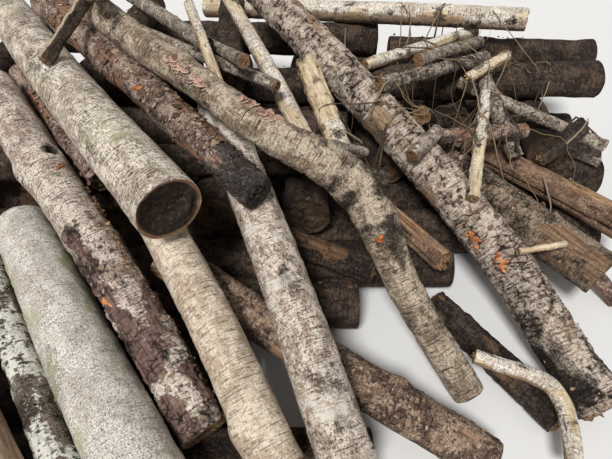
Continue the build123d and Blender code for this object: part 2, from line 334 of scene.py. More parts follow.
def sawn(seed, rot=0.0, dish=0.0):
    """A sawn end: flat and a little rough, with a few radial cracks and, where it rots, a dished dark
    middle. Every end takes u, a point's share of the rim's radius and the radius. It gives the share
    where the point ends up, how far it is set back, and its shares of bare wood and of dark."""

    def end(u, share, radius):
        cracks = step(0.55, 0.85, patches(u, share, 9, 1, seed, 2)) * step(0, 0.4, share)
        decay = rot * step(-0.3, 0.5, patches(u, share, 5, 5, seed + 1) + 1 - share)
        depth = CRACK_DEPTH * cracks + dish * radius * step(0.15, 0.9, 1 - share)
        depth += DECAY_DEPTH * decay * step(0, 0.3, 1 - share)
        depth += SAWN_ROUGHNESS * patches(u, share, 8, 8, seed + 2) * step(0, 0.2, 1 - share)
        return share, depth, np.zeros_like(u), np.maximum(cracks * 0.8, decay)

    return end


def broken(seed, reach, rot=0.4):
    """A broken end: torn fibres stand out and lie back by up to the reach."""

    def end(u, share, radius):
        torn = patches(u, share, 5, 3, seed, 4)
        depth = -reach * torn * (0.35 + 0.65 * (1 - share)) * step(0, 0.25, 1 - share)
        return share, depth, np.full_like(u, 0.6), rot * step(-0.2, 0.6, -torn)

    return end


def hollow(seed, wall, bore):
    """A rotted out end: a rim as wide as the wall's share, then the bore's side, then its bottom."""

    def end(u, share, radius):
        way = 1 - share
        rim, down = step(0, 0.3, way), step(0.25, 0.8, way)
        width = 1 - wall * rim - 0.25 * down * (1 - wall)
        width = width * (1 - step(0.8, 1, way)) + 0.02 * step(0.8, 1, way)
        ragged = 0.1 * patches(u, way, 6, 5, seed) * rim * (1 - step(0.85, 1, way))
        depth = bore * down + 0.006 * patches(u, way, 7, 6, seed + 1) * rim
        return width + ragged, depth, 0.5 * rim * (1 - down), step(0.2, 0.6, way)

    return end


def charred(seed):
    """A burnt end: split into blocks by deep cracks, all black."""

    def end(u, share, radius):
        seam, shade = plates(u, share * 0.1, 9, 45, seed)
        depth = 0.012 * (1 - step(0.02, 0.25, seam)) + 0.01 * shade * (1 - share) - 0.006
        return share, depth * step(0, 0.2, 1 - share), np.zeros_like(u), np.ones_like(u)

    return end


def log_piece(node, grid, relief, bare, dark, growth_and_shade, near, far, material, name=None):
    """Carries the relief along the log and closes it with its two ends: a point lies on its line plus
    its spoke times radius and relief; an end's point at the rim's radius times its share, set back."""
    columns = grid.u.shape[1]
    reach = grid.radius + relief
    spokes = np.stack([grid.spokes(row) for row in range(len(grid.line))])
    body = grid.line[:, None] + spokes * reach[..., None]
    turn = 2 * np.pi * grid.u[0]
    blocks, grains, finishes = [], [], []
    share = np.linspace(*CAP_SHARES, CAP_ROWS)
    for end, row, outward in ((near, 0, -1), (far, -1, 1)):
        u, ring = np.meshgrid(grid.u[0], share if outward < 0 else share[::-1])
        width, depth, end_bare, end_dark = end(u, ring, grid.radius[row, 0])
        rim = reach[row] * width
        place = grid.line[row] + spokes[row] * rim[..., None]
        place = place - outward * grid.tangent[row] * depth[..., None]
        blocks.append(place)
        start = grid.v[row, 0] - outward * depth
        grains.append(np.stack([-rim * np.cos(turn), rim * np.sin(turn), start], axis=-1))
        finishes.append(np.stack([end_bare, end_dark, np.zeros_like(u), np.ones_like(u)], axis=-1))
    grains.insert(1, np.stack([-reach * np.cos(turn), reach * np.sin(turn), grid.v], axis=-1))
    body_finish = [np.clip(field, 0, 1) * np.ones_like(grid.u) for field in (bare, dark, growth_and_shade, 0)]
    finishes.insert(1, np.stack(body_finish, axis=-1))
    blocks.insert(1, body)

    def joined(parts, size):
        grid_part = np.concatenate([part.reshape(-1, size) for part in parts])
        near_pole = parts[0][0].mean(axis=0)[None]
        far_pole = parts[-1][-1].mean(axis=0)[None]
        return np.concatenate([near_pole, grid_part, far_pole])

    quads, triangles = face_grid(len(share) * 2 + len(grid.line), columns)
    piece = mesh_piece(
        name or f"{node}_skin",
        joined(blocks, 3),
        quads,
        triangles,
        joined(grains, 3),
        joined(finishes, 4),
        material,
    )
    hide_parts(node)


def lobes(grid, seed, depth=0.025):
    """A log is never quite round: soft bulges as a share of the radius, long along the log."""
    return grid.radius * depth * grid.patches(3, 3, seed, 2)


def knot(grid, at_u, at_v, size, height):
    """A round swelling: its height times e to the minus square of the distance over its size."""
    around = (grid.u - at_u + 0.5) % 1 - 0.5
    return height * np.exp(-((around * grid.girth) ** 2 + (grid.v - at_v) ** 2) / size**2)


def paint(red, green, blue):
    """A colour given on the 0 to 255 scale of a screen, as the linear shares that a shader takes."""
    share = np.array([red, green, blue]) / 255
    return (*np.where(share > 0.04045, ((share + 0.055) / 1.055) ** 2.4, share / 12.92), 1)


BLACK = paint(26, 20, 17)
RING_PHASE = 1900.0


def bark_finish(
    name,
    outer,
    wood,
    rot=BLACK,
    rot_fleck_and_sheen=paint(86, 72, 61),
    growth_and_shade=paint(150, 150, 92),
    end=(paint(150, 118, 84), paint(96, 70, 50)),
    crust=paint(234, 228, 214),
    crust_share=0.5,
    crust_scale=85,
    blotch=22,
    speck=190,
    speck_share=0.9,
    cross_marks=0.6,
    crackle=40,
    crackle_share=0.0,
    crackle_in_wood=False,
    grain_depth=0.003,
):
    """A log's finish. outer holds the bark's main, second and speck colour, wood its bare wood's two, and
    end the cut end's two, whose rings are the sine of RING_PHASE radians to the metre. The masks of the
    mesh say where wood, dark, growth and cut end show, and noise along the log's grain breaks their edges.
    blotch, speck, crust_scale and crackle are cells to the metre, and the last has dark cracks between its
    cells. The shares and cross_marks say how strongly crusts, specks, cracks and cross marks show."""
    material = bpy.data.materials.new(name)
    material.use_nodes = True
    nodes, links = material.node_tree.nodes, material.node_tree.links
    shader = nodes["Principled BSDF"]
    shader.inputs["Roughness"].default_value = 0.86
    shader.inputs["Specular IOR Level"].default_value = 0.28

    grain = nodes.new("ShaderNodeAttribute")
    grain.attribute_name = "grain"
    masks = nodes.new("ShaderNodeAttribute")
    masks.attribute_name = "finish"
    split = nodes.new("ShaderNodeSeparateColor")
    links.new(masks.outputs["Color"], split.inputs["Color"])

    def noise(scale, stretch, detail=4, rough=0.6):
        mapping = nodes.new("ShaderNodeMapping")
        mapping.inputs["Scale"].default_value = stretch
        links.new(grain.outputs["Vector"], mapping.inputs["Vector"])
        texture = nodes.new("ShaderNodeTexNoise")
        texture.inputs["Scale"].default_value = scale
        texture.inputs["Detail"].default_value = detail
        texture.inputs["Roughness"].default_value = rough
        links.new(mapping.outputs["Vector"], texture.inputs["Vector"])
        return texture.outputs["Fac"]

    def range_of(value, low, high, least=0.0, most=1.0):
        node = nodes.new("ShaderNodeMapRange")
        node.interpolation_type = "SMOOTHSTEP"
        node.inputs["From Min"].default_value = low
        node.inputs["From Max"].default_value = high
        node.inputs["To Min"].default_value = least
        node.inputs["To Max"].default_value = most
        links.new(value, node.inputs["Value"])
        return node.outputs["Result"]

    def maths(kind, first, second):
        node = nodes.new("ShaderNodeMath")
        node.operation = kind
        for socket, value in zip(node.inputs, (first, second)):
            if isinstance(value, float):
                socket.default_value = value
            else:
                links.new(value, socket)
        return node.outputs[0]

    def mixed(share, first, second):
        node = nodes.new("ShaderNodeMix")
        node.data_type = "RGBA"
        links.new(share, node.inputs["Factor"])
        for socket, value in ((node.inputs["A"], first), (node.inputs["B"], second)):
            if isinstance(value, tuple):
                socket.default_value = value
            else:
                links.new(value, socket)
        return node.outputs["Result"]

    broad = noise(blotch, (1, 1, 0.6), 8, 0.7)
    fine = noise(speck, (1, 1, 0.8), 5, 0.75)
    crusts = noise(crust_scale, (1, 1, 1.3), 6, 0.7)
    marks = noise(60, (0.35, 0.35, 4.5), 5)
    short_marks = noise(130, (0.45, 0.45, 2.6), 3)
    fibres = noise(150, (1, 1, 0.07), 4)
    # Dark stain with lighter flecks; on the pink bark these flecks are a painted sheen.
    dark = mixed(range_of(crusts, 0.5, 0.64, 0, 0.55), rot, rot_fleck_and_sheen)
    bark_colour = mixed(range_of(broad, 0.44, 0.56), outer[0], outer[1])
    bark_colour = mixed(range_of(crusts, 0.53, 0.61, 0, crust_share), bark_colour, crust)
    bark_colour = mixed(range_of(fine, 0.5, 0.6, 0, speck_share), bark_colour, outer[2])
    dark_marks = maths("MAXIMUM", range_of(marks, 0.55, 0.66), range_of(short_marks, 0.6, 0.68, 0, 0.7))
    bark_colour = mixed(maths("MULTIPLY", dark_marks, cross_marks), bark_colour, dark)
    wood_colour = mixed(range_of(fibres, 0.35, 0.65), wood[0], wood[1])
    wood_colour = mixed(range_of(fine, 0.52, 0.7, 0, 0.6), wood_colour, outer[2])

    flat = nodes.new("ShaderNodeMapping")
    flat.inputs["Scale"].default_value = (1, 1, 0)
    links.new(grain.outputs["Vector"], flat.inputs["Vector"])
    radial = nodes.new("ShaderNodeVectorMath")
    radial.operation = "LENGTH"
    links.new(flat.outputs["Vector"], radial.inputs[0])
    from_pith = maths("ADD", radial.outputs["Value"], maths("MULTIPLY", broad, 0.012))
    rings = maths("SINE", maths("MULTIPLY", from_pith, RING_PHASE), 0.0)
    end_colour = mixed(range_of(rings, -1, 1), end[0], end[1])
    end_colour = mixed(range_of(fine, 0.4, 0.7, 0, 0.6), end_colour, wood[1])

    def gritty(mask, coarse, grit, low, high, most=1.0):
        wander = maths("MULTIPLY", maths("SUBTRACT", fine, 0.5), grit)
        drift = maths("MULTIPLY", maths("SUBTRACT", broad, 0.5), coarse)
        return range_of(maths("ADD", mask, maths("ADD", wander, drift)), low, high, 0, most)

    colour = mixed(gritty(split.outputs["Red"], 0.6, 1.0, 0.4, 0.6), bark_colour, wood_colour)
    colour = mixed(masks.outputs["Alpha"], colour, end_colour)
    # This colour also carries painted shade: the brown undersides of the pale poles.
    colour = mixed(gritty(split.outputs["Blue"], 1.2, 1.6, 0.35, 0.7, 0.8), colour, growth_and_shade)
    colour = mixed(gritty(split.outputs["Green"], 1.0, 1.4, 0.2, 0.95, 0.95), colour, dark)
    height = maths("SUBTRACT", fine, maths("MULTIPLY", dark_marks, 0.6))
    if crackle_share:
        cells = nodes.new("ShaderNodeTexVoronoi")
        cells.feature = "DISTANCE_TO_EDGE"
        cells.inputs["Scale"].default_value = crackle
        shorter = nodes.new("ShaderNodeMapping")
        shorter.inputs["Scale"].default_value = (0.8, 0.8, 1.7)
        links.new(grain.outputs["Vector"], shorter.inputs["Vector"])
        links.new(shorter.outputs["Vector"], cells.inputs["Vector"])
        wander = maths("MULTIPLY", maths("SUBTRACT", 0.5, crusts), 0.5)
        seam = range_of(maths("ADD", cells.outputs["Distance"], wander), 0.0, 0.09, crackle_share, 0)
        wood_mask = split.outputs["Red"]
        cracked = wood_mask if crackle_in_wood else maths("SUBTRACT", 1.0, wood_mask)
        cracks = maths("MULTIPLY", maths("MULTIPLY", seam, range_of(broad, 0.44, 0.56)), cracked)
        colour = mixed(cracks, colour, BLACK)
        height = maths("SUBTRACT", height, maths("MULTIPLY", cracks, 1.5))
    links.new(colour, shader.inputs["Base Color"])

    height = maths("ADD", height, maths("MULTIPLY", maths("ADD", fibres, crusts), 0.5))
    bump = nodes.new("ShaderNodeBump")
    bump.inputs["Strength"].default_value = 0.75
    bump.inputs["Distance"].default_value = grain_depth
    links.new(height, bump.inputs["Height"])
    links.new(bump.outputs["Normal"], shader.inputs["Normal"])
    return material


speckled_finish = bark_finish(
    "speckled_bark",
    outer=(paint(216, 208, 196), paint(188, 178, 166), paint(98, 88, 80)),
    wood=(paint(140, 120, 95), paint(110, 90, 70)),
    growth_and_shade=paint(164, 166, 124),
    crust=paint(250, 246, 238),
    crust_share=0.85,
    crust_scale=230,
    speck=300,
    cross_marks=0.3,
    grain_depth=0.0015,
)
grid = LogGrid.of("speckled_log")
TOP_U = 0.52
TOP_SPREAD = 0.14
sides = 1 - 0.9 * np.exp(-(((grid.u - TOP_U) / TOP_SPREAD) ** 2))
film = 1.1 * step(-0.6, 0.8, grid.patches(8, 12, 11, 4)) * sides
relief = lobes(grid, 12, 0.02) + 0.0012 * grid.patches(16, 26, 13)
relief += 0.0012 * step(0.3, 0.9, grid.patches(40, 70, 14, 2))
stain = 0.35 * step(0.3, 0.9, grid.patches(5, 7, 15))
log_piece(
    "speckled_log", grid, relief, 0, stain, film, sawn(16), sawn(17, 0.3), speckled_finish
)


# Lichen log: a thinner dark log against the speckled one's left side. White crusty lichen has spread
# over its bark in patches with ragged edges.
lichen_finish = bark_finish(
    "lichen_bark",
    outer=(paint(118, 104, 90), paint(82, 70, 60), paint(48, 40, 35)),
    crust_share=0.25,
    wood=(paint(140, 120, 95), paint(110, 90, 70)),
    growth_and_shade=paint(240, 238, 226),
    cross_marks=0.7,
    crackle=85,
    crackle_share=1.0,
)


def seams(grid, around, along, seed, width):
    """Thin wandering lines, 1 on the line: where a random field comes within the width of 0."""
    return 1 - step(0, width, np.abs(grid.patches(around, along, seed)))


grid = LogGrid.of("lichen_log")
plate_seam, plate_shade = grid.plates(22, 90, 27)
crust = step(-0.8, 0.3, grid.patches(5, 9, 21, 4)) * step(-0.02, 0.12, plate_seam)
crust *= step(0.1, 0.25, plate_shade)
relief = lobes(grid, 22) + 0.0015 * crust + 0.002 * grid.patches(12, 30, 23)
relief -= 0.003 * seams(grid, 8, 18, 24, 0.12)
stain = 0.2 * (1 - crust)
log_piece(
    "lichen_log", grid, relief, 0, stain, crust, sawn(25), broken(26, 0.01), lichen_finish
)

# Peeled log: outermost at the left front. Its bark is gone, and the tan wood has weathered with long
# drying cracks and dark stains.
peeled_finish = bark_finish(
    "peeled_wood",
    outer=(paint(168, 140, 118), paint(120, 92, 76), paint(70, 52, 44)),
    wood=(paint(196, 168, 146), paint(150, 120, 98)),
    cross_marks=0.1,
)
grid = LogGrid.of("peeled_log")
drying = seams(grid, 14, 2.2, 31, 0.07)
relief = lobes(grid, 32) - 0.004 * drying + 0.0012 * grid.patches(30, 8, 33)
stain = 0.75 * drying + 0.5 * step(0.2, 0.8, grid.patches(4, 5, 34))
log_piece("peeled_log", grid, relief, 1, stain, 0, sawn(35, 0.4), sawn(36), peeled_finish)

# Hidden logs: the bed on the ground, the bearers on it and the two layers over these. They are rough
# brown logs with sawn ends, and each lies loose in the hollows of the layer below. Their bark is painted
# very dark brown: painted shade for the deep gaps between the logs above.
hidden_shaded_finish = bark_finish(
    "hidden_bark",
    # Very dark bark tones: painted shade for the gaps between the logs above.
    outer=(paint(86, 69, 57), paint(56, 44, 36), paint(30, 24, 20)),
    wood=(paint(120, 94, 70), paint(88, 66, 50)),
    growth_and_shade=paint(84, 82, 60),
    end=(paint(112, 88, 64), paint(70, 52, 38)),
    crust=paint(124, 106, 90),
    cross_marks=0.7,
    crackle=30,
    crackle_share=0.7,
    grain_depth=0.005,
)
HIDDEN_CELL = 0.015
hidden_groups = {
    "bed_logs_front": "bed_log",
    "bed_logs_middle": "bed_log",
    "bed_logs_back": "bed_log",
    "bearer_logs_left": "bearer",
    "bearer_logs_right": "bearer",
    "cross_logs_left": "cross_log",
    "cross_logs_right": "cross_log",
    "upper_logs": "upper_log",
}
hidden_count = 0
for group, kind in hidden_groups.items():
    for points in solids_of(group):
        hidden_count += 1
        seed = 100 + hidden_count * 10
        grid = LogGrid(*sections_of(points), HIDDEN_CELL)
        relief = lobes(grid, seed, 0.04) + 0.004 * grid.patches(10, 14, seed + 1, 2)
        stain = 0.7 * step(-0.3, 0.9, grid.patches(4, 6, seed + 2))
        on_top = step(0.5, 0.1, np.abs(grid.u - 0.5) * 2)
        moss = 0.6 * step(0.4, 0.9, grid.patches(5, 6, seed + 3)) * on_top
        log_piece(
            group,
            grid,
            relief,
            0,
            stain,
            moss,
            sawn(seed + 4, 0.5),
            sawn(seed + 5, 0.3),
            hidden_shaded_finish,
            name=f"{kind}_{hidden_count}",
        )


# Crossing log: a reddish brown log that runs down to the right under the two poles at the front. Its
# bark has long shallow cracks and a knot.
reddish_finish = bark_finish(
    "reddish_bark",
    outer=(paint(150, 126, 106), paint(96, 74, 62), paint(48, 37, 32)),
    crust=paint(206, 188, 162),
    crackle=42,
    crackle_share=0.8,
    wood=(paint(170, 138, 112), paint(130, 98, 78)),
    growth_and_shade=paint(150, 150, 110),
    cross_marks=0.5,
    grain_depth=0.002,
)
grid = LogGrid.of("crossing_log")
relief = lobes(grid, 401) + knot(grid, 0.4, 0.26, 0.03, 0.012) - 0.003 * seams(grid, 9, 5, 402, 0.1)
relief += 0.0018 * grid.patches(14, 26, 403)
stain = 0.6 * step(0.1, 0.9, grid.patches(4, 6, 404)) + 0.4 * seams(grid, 9, 5, 402, 0.12)
bare = 0.8 * step(0.4, 0.7, grid.patches(4, 5, 405, 4))
log_piece(
    "crossing_log", grid, relief, bare, stain, 0, sawn(406, 0.3), sawn(407), reddish_finish
)

# Dark log and half buried log: damp rotting logs in the shade, soft and almost black, cracked into long
# plates. One lies behind the mottled log, and the other on the ground at the right.
damp_finish = bark_finish(
    "dark_bark",
    outer=(paint(78, 64, 54), paint(50, 40, 34), paint(28, 22, 19)),
    crust=paint(120, 104, 90),
    crust_share=0.35,
    wood=(paint(120, 92, 66), paint(84, 62, 46)),
    growth_and_shade=paint(110, 112, 78),
    cross_marks=0.8,
    crackle=45,
    crackle_share=0.9,
    grain_depth=0.005,
)


PLATE_WIDTH = 0.022
FEWEST_PLATES = 4
POLE_CELL = 0.005
ROTTEN_REACH = 0.014


def rotting_log(node, seed, cell=POLE_CELL):
    """Bark in long plates that stand out by their own number's share, with deep seams between."""
    grid = LogGrid.of(node, cell)
    seam, shade = grid.plates(max(grid.girth / PLATE_WIDTH, FEWEST_PLATES), 14, seed)
    relief = lobes(grid, seed + 1, 0.04) + 0.003 * shade - 0.005 * (1 - step(0.0, 0.3, seam))
    relief += 0.0015 * grid.patches(14, 60, seed + 2)
    stain = 0.5 * (1 - step(0, 0.35, seam)) + 0.3 * shade
    worn = step(0.5, 0.8, grid.patches(3, 6, seed + 3))
    near, far = broken(seed + 4, ROTTEN_REACH), broken(seed + 5, ROTTEN_REACH)
    log_piece(node, grid, relief, worn, stain, 0, near, far, damp_finish)


rotting_log("dark_log", 501)
rotting_log("half_buried_log", 511)

# Split log and fibrous log: split along the grain, so they show bare yellow brown fibres in deep long
# grooves. They lie loose on the right slope.
fibrous_finish = bark_finish(
    "fibrous_wood",
    outer=(paint(150, 122, 98), paint(112, 84, 66), paint(66, 48, 40)),
    wood=(paint(190, 158, 120), paint(122, 88, 64)),
    crust_share=0.12,
    cross_marks=0.2,
    grain_depth=0.004,
)


def split_wood(node, seed, cell=POLE_CELL):
    """Long fibres: deep grooves along the log and finer ones between, with dark in the deepest."""
    grid = LogGrid.of(node, cell)
    groove = seams(grid, 7, 1.6, seed, 0.2)
    fibre = grid.patches(26, 3, seed + 1)
    relief = lobes(grid, seed + 2, 0.06) - 0.009 * groove + 0.002 * fibre
    stain = 0.8 * groove + 0.35 * step(0, 1, -fibre)
    bare = step(-0.3, 0.2, grid.patches(3, 3, seed + 3))
    near, far = broken(seed + 4, 0.03), broken(seed + 5, 0.02)
    log_piece(node, grid, relief, bare, stain, 0, near, far, fibrous_finish)


split_wood("split_log", 521)
split_wood("fibrous_log", 531)


# Rough barked logs: the long one with a flared butt down the right side and the brown one on the right
# slope. Their thick bark has cracked across and along into plates, and some plates have fallen off.
rough_finish = bark_finish(
    "rough_bark",
    outer=(paint(208, 190, 172), paint(164, 144, 127), paint(98, 80, 69)),
    wood=(paint(176, 150, 122), paint(132, 104, 82)),
    growth_and_shade=paint(160, 158, 120),
    crust_share=0.35,
    speck_share=0.5,
    cross_marks=0.9,
    crackle=26,
    crackle_share=1.0,
    grain_depth=0.005,
)
brown_finish = bark_finish(
    "brown_bark",
    outer=(paint(150, 133, 112), paint(104, 88, 71), paint(58, 47, 39)),
    wood=(paint(150, 122, 96), paint(104, 80, 62)),
    growth_and_shade=paint(140, 138, 100),
    crust=paint(190, 180, 156),
    crust_share=0.4,
    cross_marks=0.8,
    crackle=34,
    crackle_share=0.9,
    grain_depth=0.005,
)


def plated_bark(grid, seed, plate=0.045, deep=0.004):
    """Cracked bark: plates at their own heights, seams between them, cross cracks, and shallow scars where
    a plate is gone. Gives the relief, how deep in a crack a point is, and the scars."""
    seam, shade = grid.plates(grid.girth / plate, 1.5 / plate, seed)
    crack = 1 - step(0.0, 0.25, seam)
    across = seams(grid, 3, 28, seed + 1, 0.1) * step(-0.2, 0.4, grid.patches(4, 7, seed + 2))
    scar = step(0.45, 0.6, grid.patches(5, 7, seed + 3, 4))
    crack, across = crack * (1 - scar), across * (1 - scar)
    relief = lobes(grid, seed + 4, 0.03) + 0.0018 * shade - deep * np.maximum(crack * 0.7, across)
    relief += 0.0015 * grid.patches(18, 50, seed + 5) - 0.002 * scar
    return relief, np.maximum(0.6 * crack, across), scar


BUTT_REACH = 0.25
rough_grid = LogGrid.of("rough_bark_log", LONG_LOG_CELL)
grid = rough_grid
relief, crack, scar = plated_bark(grid, 601, deep=0.005)
butt = np.exp(-grid.v / BUTT_REACH)
relief += 0.008 * butt * grid.patches(6, 3, 607)
stain = 0.7 * crack + 0.45 * step(0.1, 0.9, grid.patches(4, 6, 608))
stain += 1.3 * butt * step(-0.7, 0.5, grid.patches(6, 9, 611, 4))
bare = 0.8 * (scar * (1 - butt))
torn_butt = broken(609, 0.02, 0.9)
log_piece("rough_bark_log", grid, relief, bare, stain, 0, torn_butt, sawn(610), rough_finish)

grid = LogGrid.of("brown_log", LONG_LOG_CELL)
relief, crack, scar = plated_bark(grid, 621)
stain = 0.6 * crack + 0.6 * step(0.0, 0.9, grid.patches(4, 5, 628))
bare = 0.7 * scar
log_piece("brown_log", grid, relief, bare, stain, 0, sawn(629, 0.6), sawn(630), brown_finish)

# Ringed log: a bent log up the left side with a hollow front end. Its cream bark flakes off in curls,
# brown below, with ring marks round it; a knot hole is near its upper end.
cream_finish = bark_finish(
    "cream_bark",
    outer=(paint(220, 207, 190), paint(172, 156, 138), paint(92, 79, 69)),
    wood=(paint(150, 116, 96), paint(110, 80, 66)),
    growth_and_shade=paint(186, 184, 138),
    crust=paint(246, 240, 224),
    cross_marks=0.9,
)
flaking_finish = bark_finish(
    "flaking_bark",
    outer=(paint(216, 202, 186), paint(170, 150, 136), paint(92, 76, 68)),
    wood=(paint(138, 112, 102), paint(92, 71, 64)),
    growth_and_shade=paint(186, 184, 138),
    crust=paint(240, 230, 214),
    cross_marks=0.9,
    crackle=42,
    crackle_share=0.9,
    crackle_in_wood=True,
    grain_depth=0.004,
)


def ring_marks(grid, seed, spacing=0.03):
    """Lines round the log, 1 on the line: seams of a field that changes little round and fast along."""
    mark = seams(grid, 2, 1 / spacing, seed, 0.12)
    return mark * step(-0.5, 0.4, grid.patches(3, 6, seed + 1))


KNOT_HOLE = (0.4, 0.84)
ringed_grid = LogGrid.of("ringed_log")
grid = ringed_grid
lower = step(0.8, 0.35, grid.v + 0.2 * grid.patches(5, 6, 641, 4))
flake = step(-0.2, 0.9, grid.patches(8, 16, 642, 4) + 1.5 * lower - 0.8)
marks = ring_marks(grid, 643)
scale_seam, scale_height = grid.plates(12, 40, 649)
cracked = lower * (1 - step(0.0, 0.25, scale_seam))
knot_hole = knot(grid, *KNOT_HOLE, 0.028, 0.014) - knot(grid, *KNOT_HOLE, 0.014, 0.03)
swelling = knot(grid, 0.75, 0.84, 0.04, 0.012)
relief = lobes(grid, 644) + knot_hole + swelling - 0.0025 * marks
relief += lower * 0.004 * scale_height - 0.004 * cracked
relief += (0.0015 + 0.002 * lower) * grid.patches(14, 36, 645)
stain = 0.5 * marks + 0.4 * step(0.2, 0.9, grid.patches(4, 8, 646)) * (0.5 + lower)
stain += knot(grid, *KNOT_HOLE, 0.02, 1.3) + 0.5 * cracked
stain += 0.6 * lower * step(-0.2, 0.8, grid.patches(5, 12, 650, 4))
WALL_SHARE = 0.3
BORE_DEPTH = 0.085
hollow_end = hollow(647, WALL_SHARE, BORE_DEPTH)
log_piece("ringed_log", grid, relief, flake, stain, 0, hollow_end, sawn(648), flaking_finish)

# Log with the sawn end: the thickest on top, at the left. Cream grey bark with short cross marks, dark
# smudges and a greenish film; its sawn face has rotted nearly black inside a thin pale rim.
rotten_end = sawn(661, 1.0, 0.05)
SOUND_RIM = 0.93


def sawn_rotten(u, share, radius):
    """The sawn end with its rot held back from the rim by a thin wavering ring of sound wood."""
    width, depth, end_bare, _ = rotten_end(u, share, radius)
    edge = SOUND_RIM + 0.03 * patches(u, share, 7, 1, 662)
    decay = step(0.0, 0.06, edge - share) * (1.2 + 0.4 * patches(u, share, 6, 6, 663))
    return width, depth, end_bare, decay


grid = LogGrid.of("sawn_end_log", LONG_LOG_CELL)
marks = ring_marks(grid, 664, 0.018)
film = 0.45 * step(-0.2, 0.9, grid.patches(7, 14, 665, 4))
relief = lobes(grid, 666) - 0.0018 * marks + 0.0015 * grid.patches(18, 36, 667)
relief += knot(grid, 0.55, 0.62, 0.03, 0.006) + knot(grid, 0.35, 0.95, 0.03, 0.006)
stain = 0.45 * marks + 0.5 * step(0.1, 0.8, grid.patches(5, 14, 668, 4))
log_piece("sawn_end_log", grid, relief, 0, stain, film, sawn_rotten, sawn(669), cream_finish)

# Beige pole and mottled log: the two thick poles in the middle of the front. Thin bark, beige with ring
# lines on one, and mottled grey, white and brown on the other.
beige_finish = bark_finish(
    "beige_bark",
    outer=(paint(222, 206, 183), paint(186, 165, 142), paint(142, 118, 98)),
    wood=(paint(170, 138, 108), paint(130, 98, 74)),
    growth_and_shade=paint(178, 176, 120),
    speck_share=0.65,
)
grid = LogGrid.of("beige_pole")
marks = ring_marks(grid, 681, 0.04)
relief = lobes(grid, 682) + knot(grid, 0.7, 0.1, 0.03, 0.012) - 0.002 * marks
relief += 0.0013 * grid.patches(16, 30, 683)
stain = 0.5 * marks + 0.4 * step(0.4, 0.9, grid.patches(4, 8, 684))
upper = step(0.4, 0.9, grid.v / grid.length)
stain += 0.4 * upper * step(-0.6, 0.6, grid.patches(5, 14, 688, 4))
film = 0.25 * step(0.1, 0.9, grid.patches(7, 9, 685, 4))
log_piece("beige_pole", grid, relief, 0, stain, film, sawn(686, 0.3), sawn(687), beige_finish)

grey_finish = bark_finish(
    "grey_bark",
    outer=(paint(218, 203, 186), paint(166, 147, 130), paint(88, 74, 64)),
    wood=(paint(168, 138, 112), paint(126, 98, 78)),
    growth_and_shade=paint(224, 220, 208),
    blotch=38,
    cross_marks=0.7,
)
grid = LogGrid.of("mottled_log")
mottle = step(0.0, 0.7, grid.patches(11, 26, 701, 4))
relief = lobes(grid, 702) + 0.0018 * grid.patches(16, 34, 703) + 0.001 * mottle
marks = seams(grid, 3, 20, 704, 0.08)
relief -= 0.0025 * marks
stain = 0.55 * step(0.25, 0.8, grid.patches(6, 12, 705, 4)) + 0.4 * marks
film = 0.55 * mottle
log_piece("mottled_log", grid, relief, 0, stain, film, sawn(706, 0.3), sawn(707), grey_finish)

# Pink brown logs: the shaded one, the charred one and two small ones at the right. Their loose bark
# crumbles off in small scales.
pink_finish = bark_finish(
    "pink_bark",
    outer=(paint(172, 148, 132), paint(122, 97, 84), paint(60, 46, 40)),
    crust=paint(214, 196, 178),
    wood=(paint(160, 122, 98), paint(112, 80, 64)),
    growth_and_shade=paint(190, 182, 168),
    rot=paint(52, 47, 44),
    # Light grey flecks in the dark stain and on the charred end: painted charcoal sheen.
    rot_fleck_and_sheen=paint(134, 126, 120),
    cross_marks=0.7,
    crackle=60,
    crackle_share=0.85,
    grain_depth=0.005,
)


def scaly_log(node, seed, near, far, burnt=0.0):
    """Scaly bark: small plates at their own heights, gone in ragged patches, and black where burnt, up
    to that length from the near end."""
    grid = LogGrid.of(node)
    seam, shade = grid.plates(max(grid.girth / PLATE_WIDTH, FEWEST_PLATES), 50, seed)
    gone = step(0.05, 0.3, grid.patches(5, 9, seed + 1, 4))
    relief = lobes(grid, seed + 2, 0.04) + 0.0025 * shade * (1 - gone) - 0.0025 * gone
    relief += 0.0015 * grid.patches(16, 50, seed + 3)
    stain = 0.4 * (1 - step(0, 0.3, seam)) + 0.5 * step(0, 0.9, grid.patches(4, 8, seed + 4))
    if burnt:
        char = step(1.15, 0.75, grid.v / burnt + 0.3 * grid.patches(5, 9, seed + 5))
        block, _ = grid.plates(9, 30, seed + 6)
        split = 1 - step(0.0, 0.35, block)
        relief -= 0.009 * char * split
        stain += 0.75 * char + 0.3 * char * split
    log_piece(node, grid, relief, 0.7 * gone, stain, 0, near, far, pink_finish)
    return grid


scaly_log("shaded_log", 721, sawn(728, 0.5), sawn(729))
BURNT_LENGTH = 0.17
charred_grid = scaly_log("charred_log", 731, charred(738), sawn(739), BURNT_LENGTH)
scaly_log("pinkish_log", 741, sawn(748), sawn(749))
scaly_log("reddish_log", 751, sawn(758), sawn(759))

# Forked log: a crooked pole that comes up from the ground at the right front. At its bend the other arm
# of the fork has broken off to a rotten stub. Small brackets grow on its upper part.
forked_finish = bark_finish(
    "forked_bark",
    outer=(paint(186, 169, 148), paint(140, 120, 100), paint(78, 63, 54)),
    crust=paint(216, 206, 180),
    wood=(paint(160, 126, 100), paint(112, 84, 66)),
    growth_and_shade=paint(176, 174, 138),
    speck_share=0.7,
    cross_marks=0.9,
    crackle=30,
    crackle_share=0.35,
)
STUB_REACH = np.array((0.0897, 0.0142, 0.0144))
STUB_RADII = (0.034, 0.030)
STUB_ABOVE = 0.35
STUB_BEYOND = 0.056
TIP_DEPTH = 0.002
FORK_SHARE = 0.345
FORK_REACH = 0.15
SWELLING_SHARE = 0.335
FORKED_KNOTS = ((0.4, 0.3), (0.6, 0.75), (0.3, 1.2))
THIN_CELL = 0.004


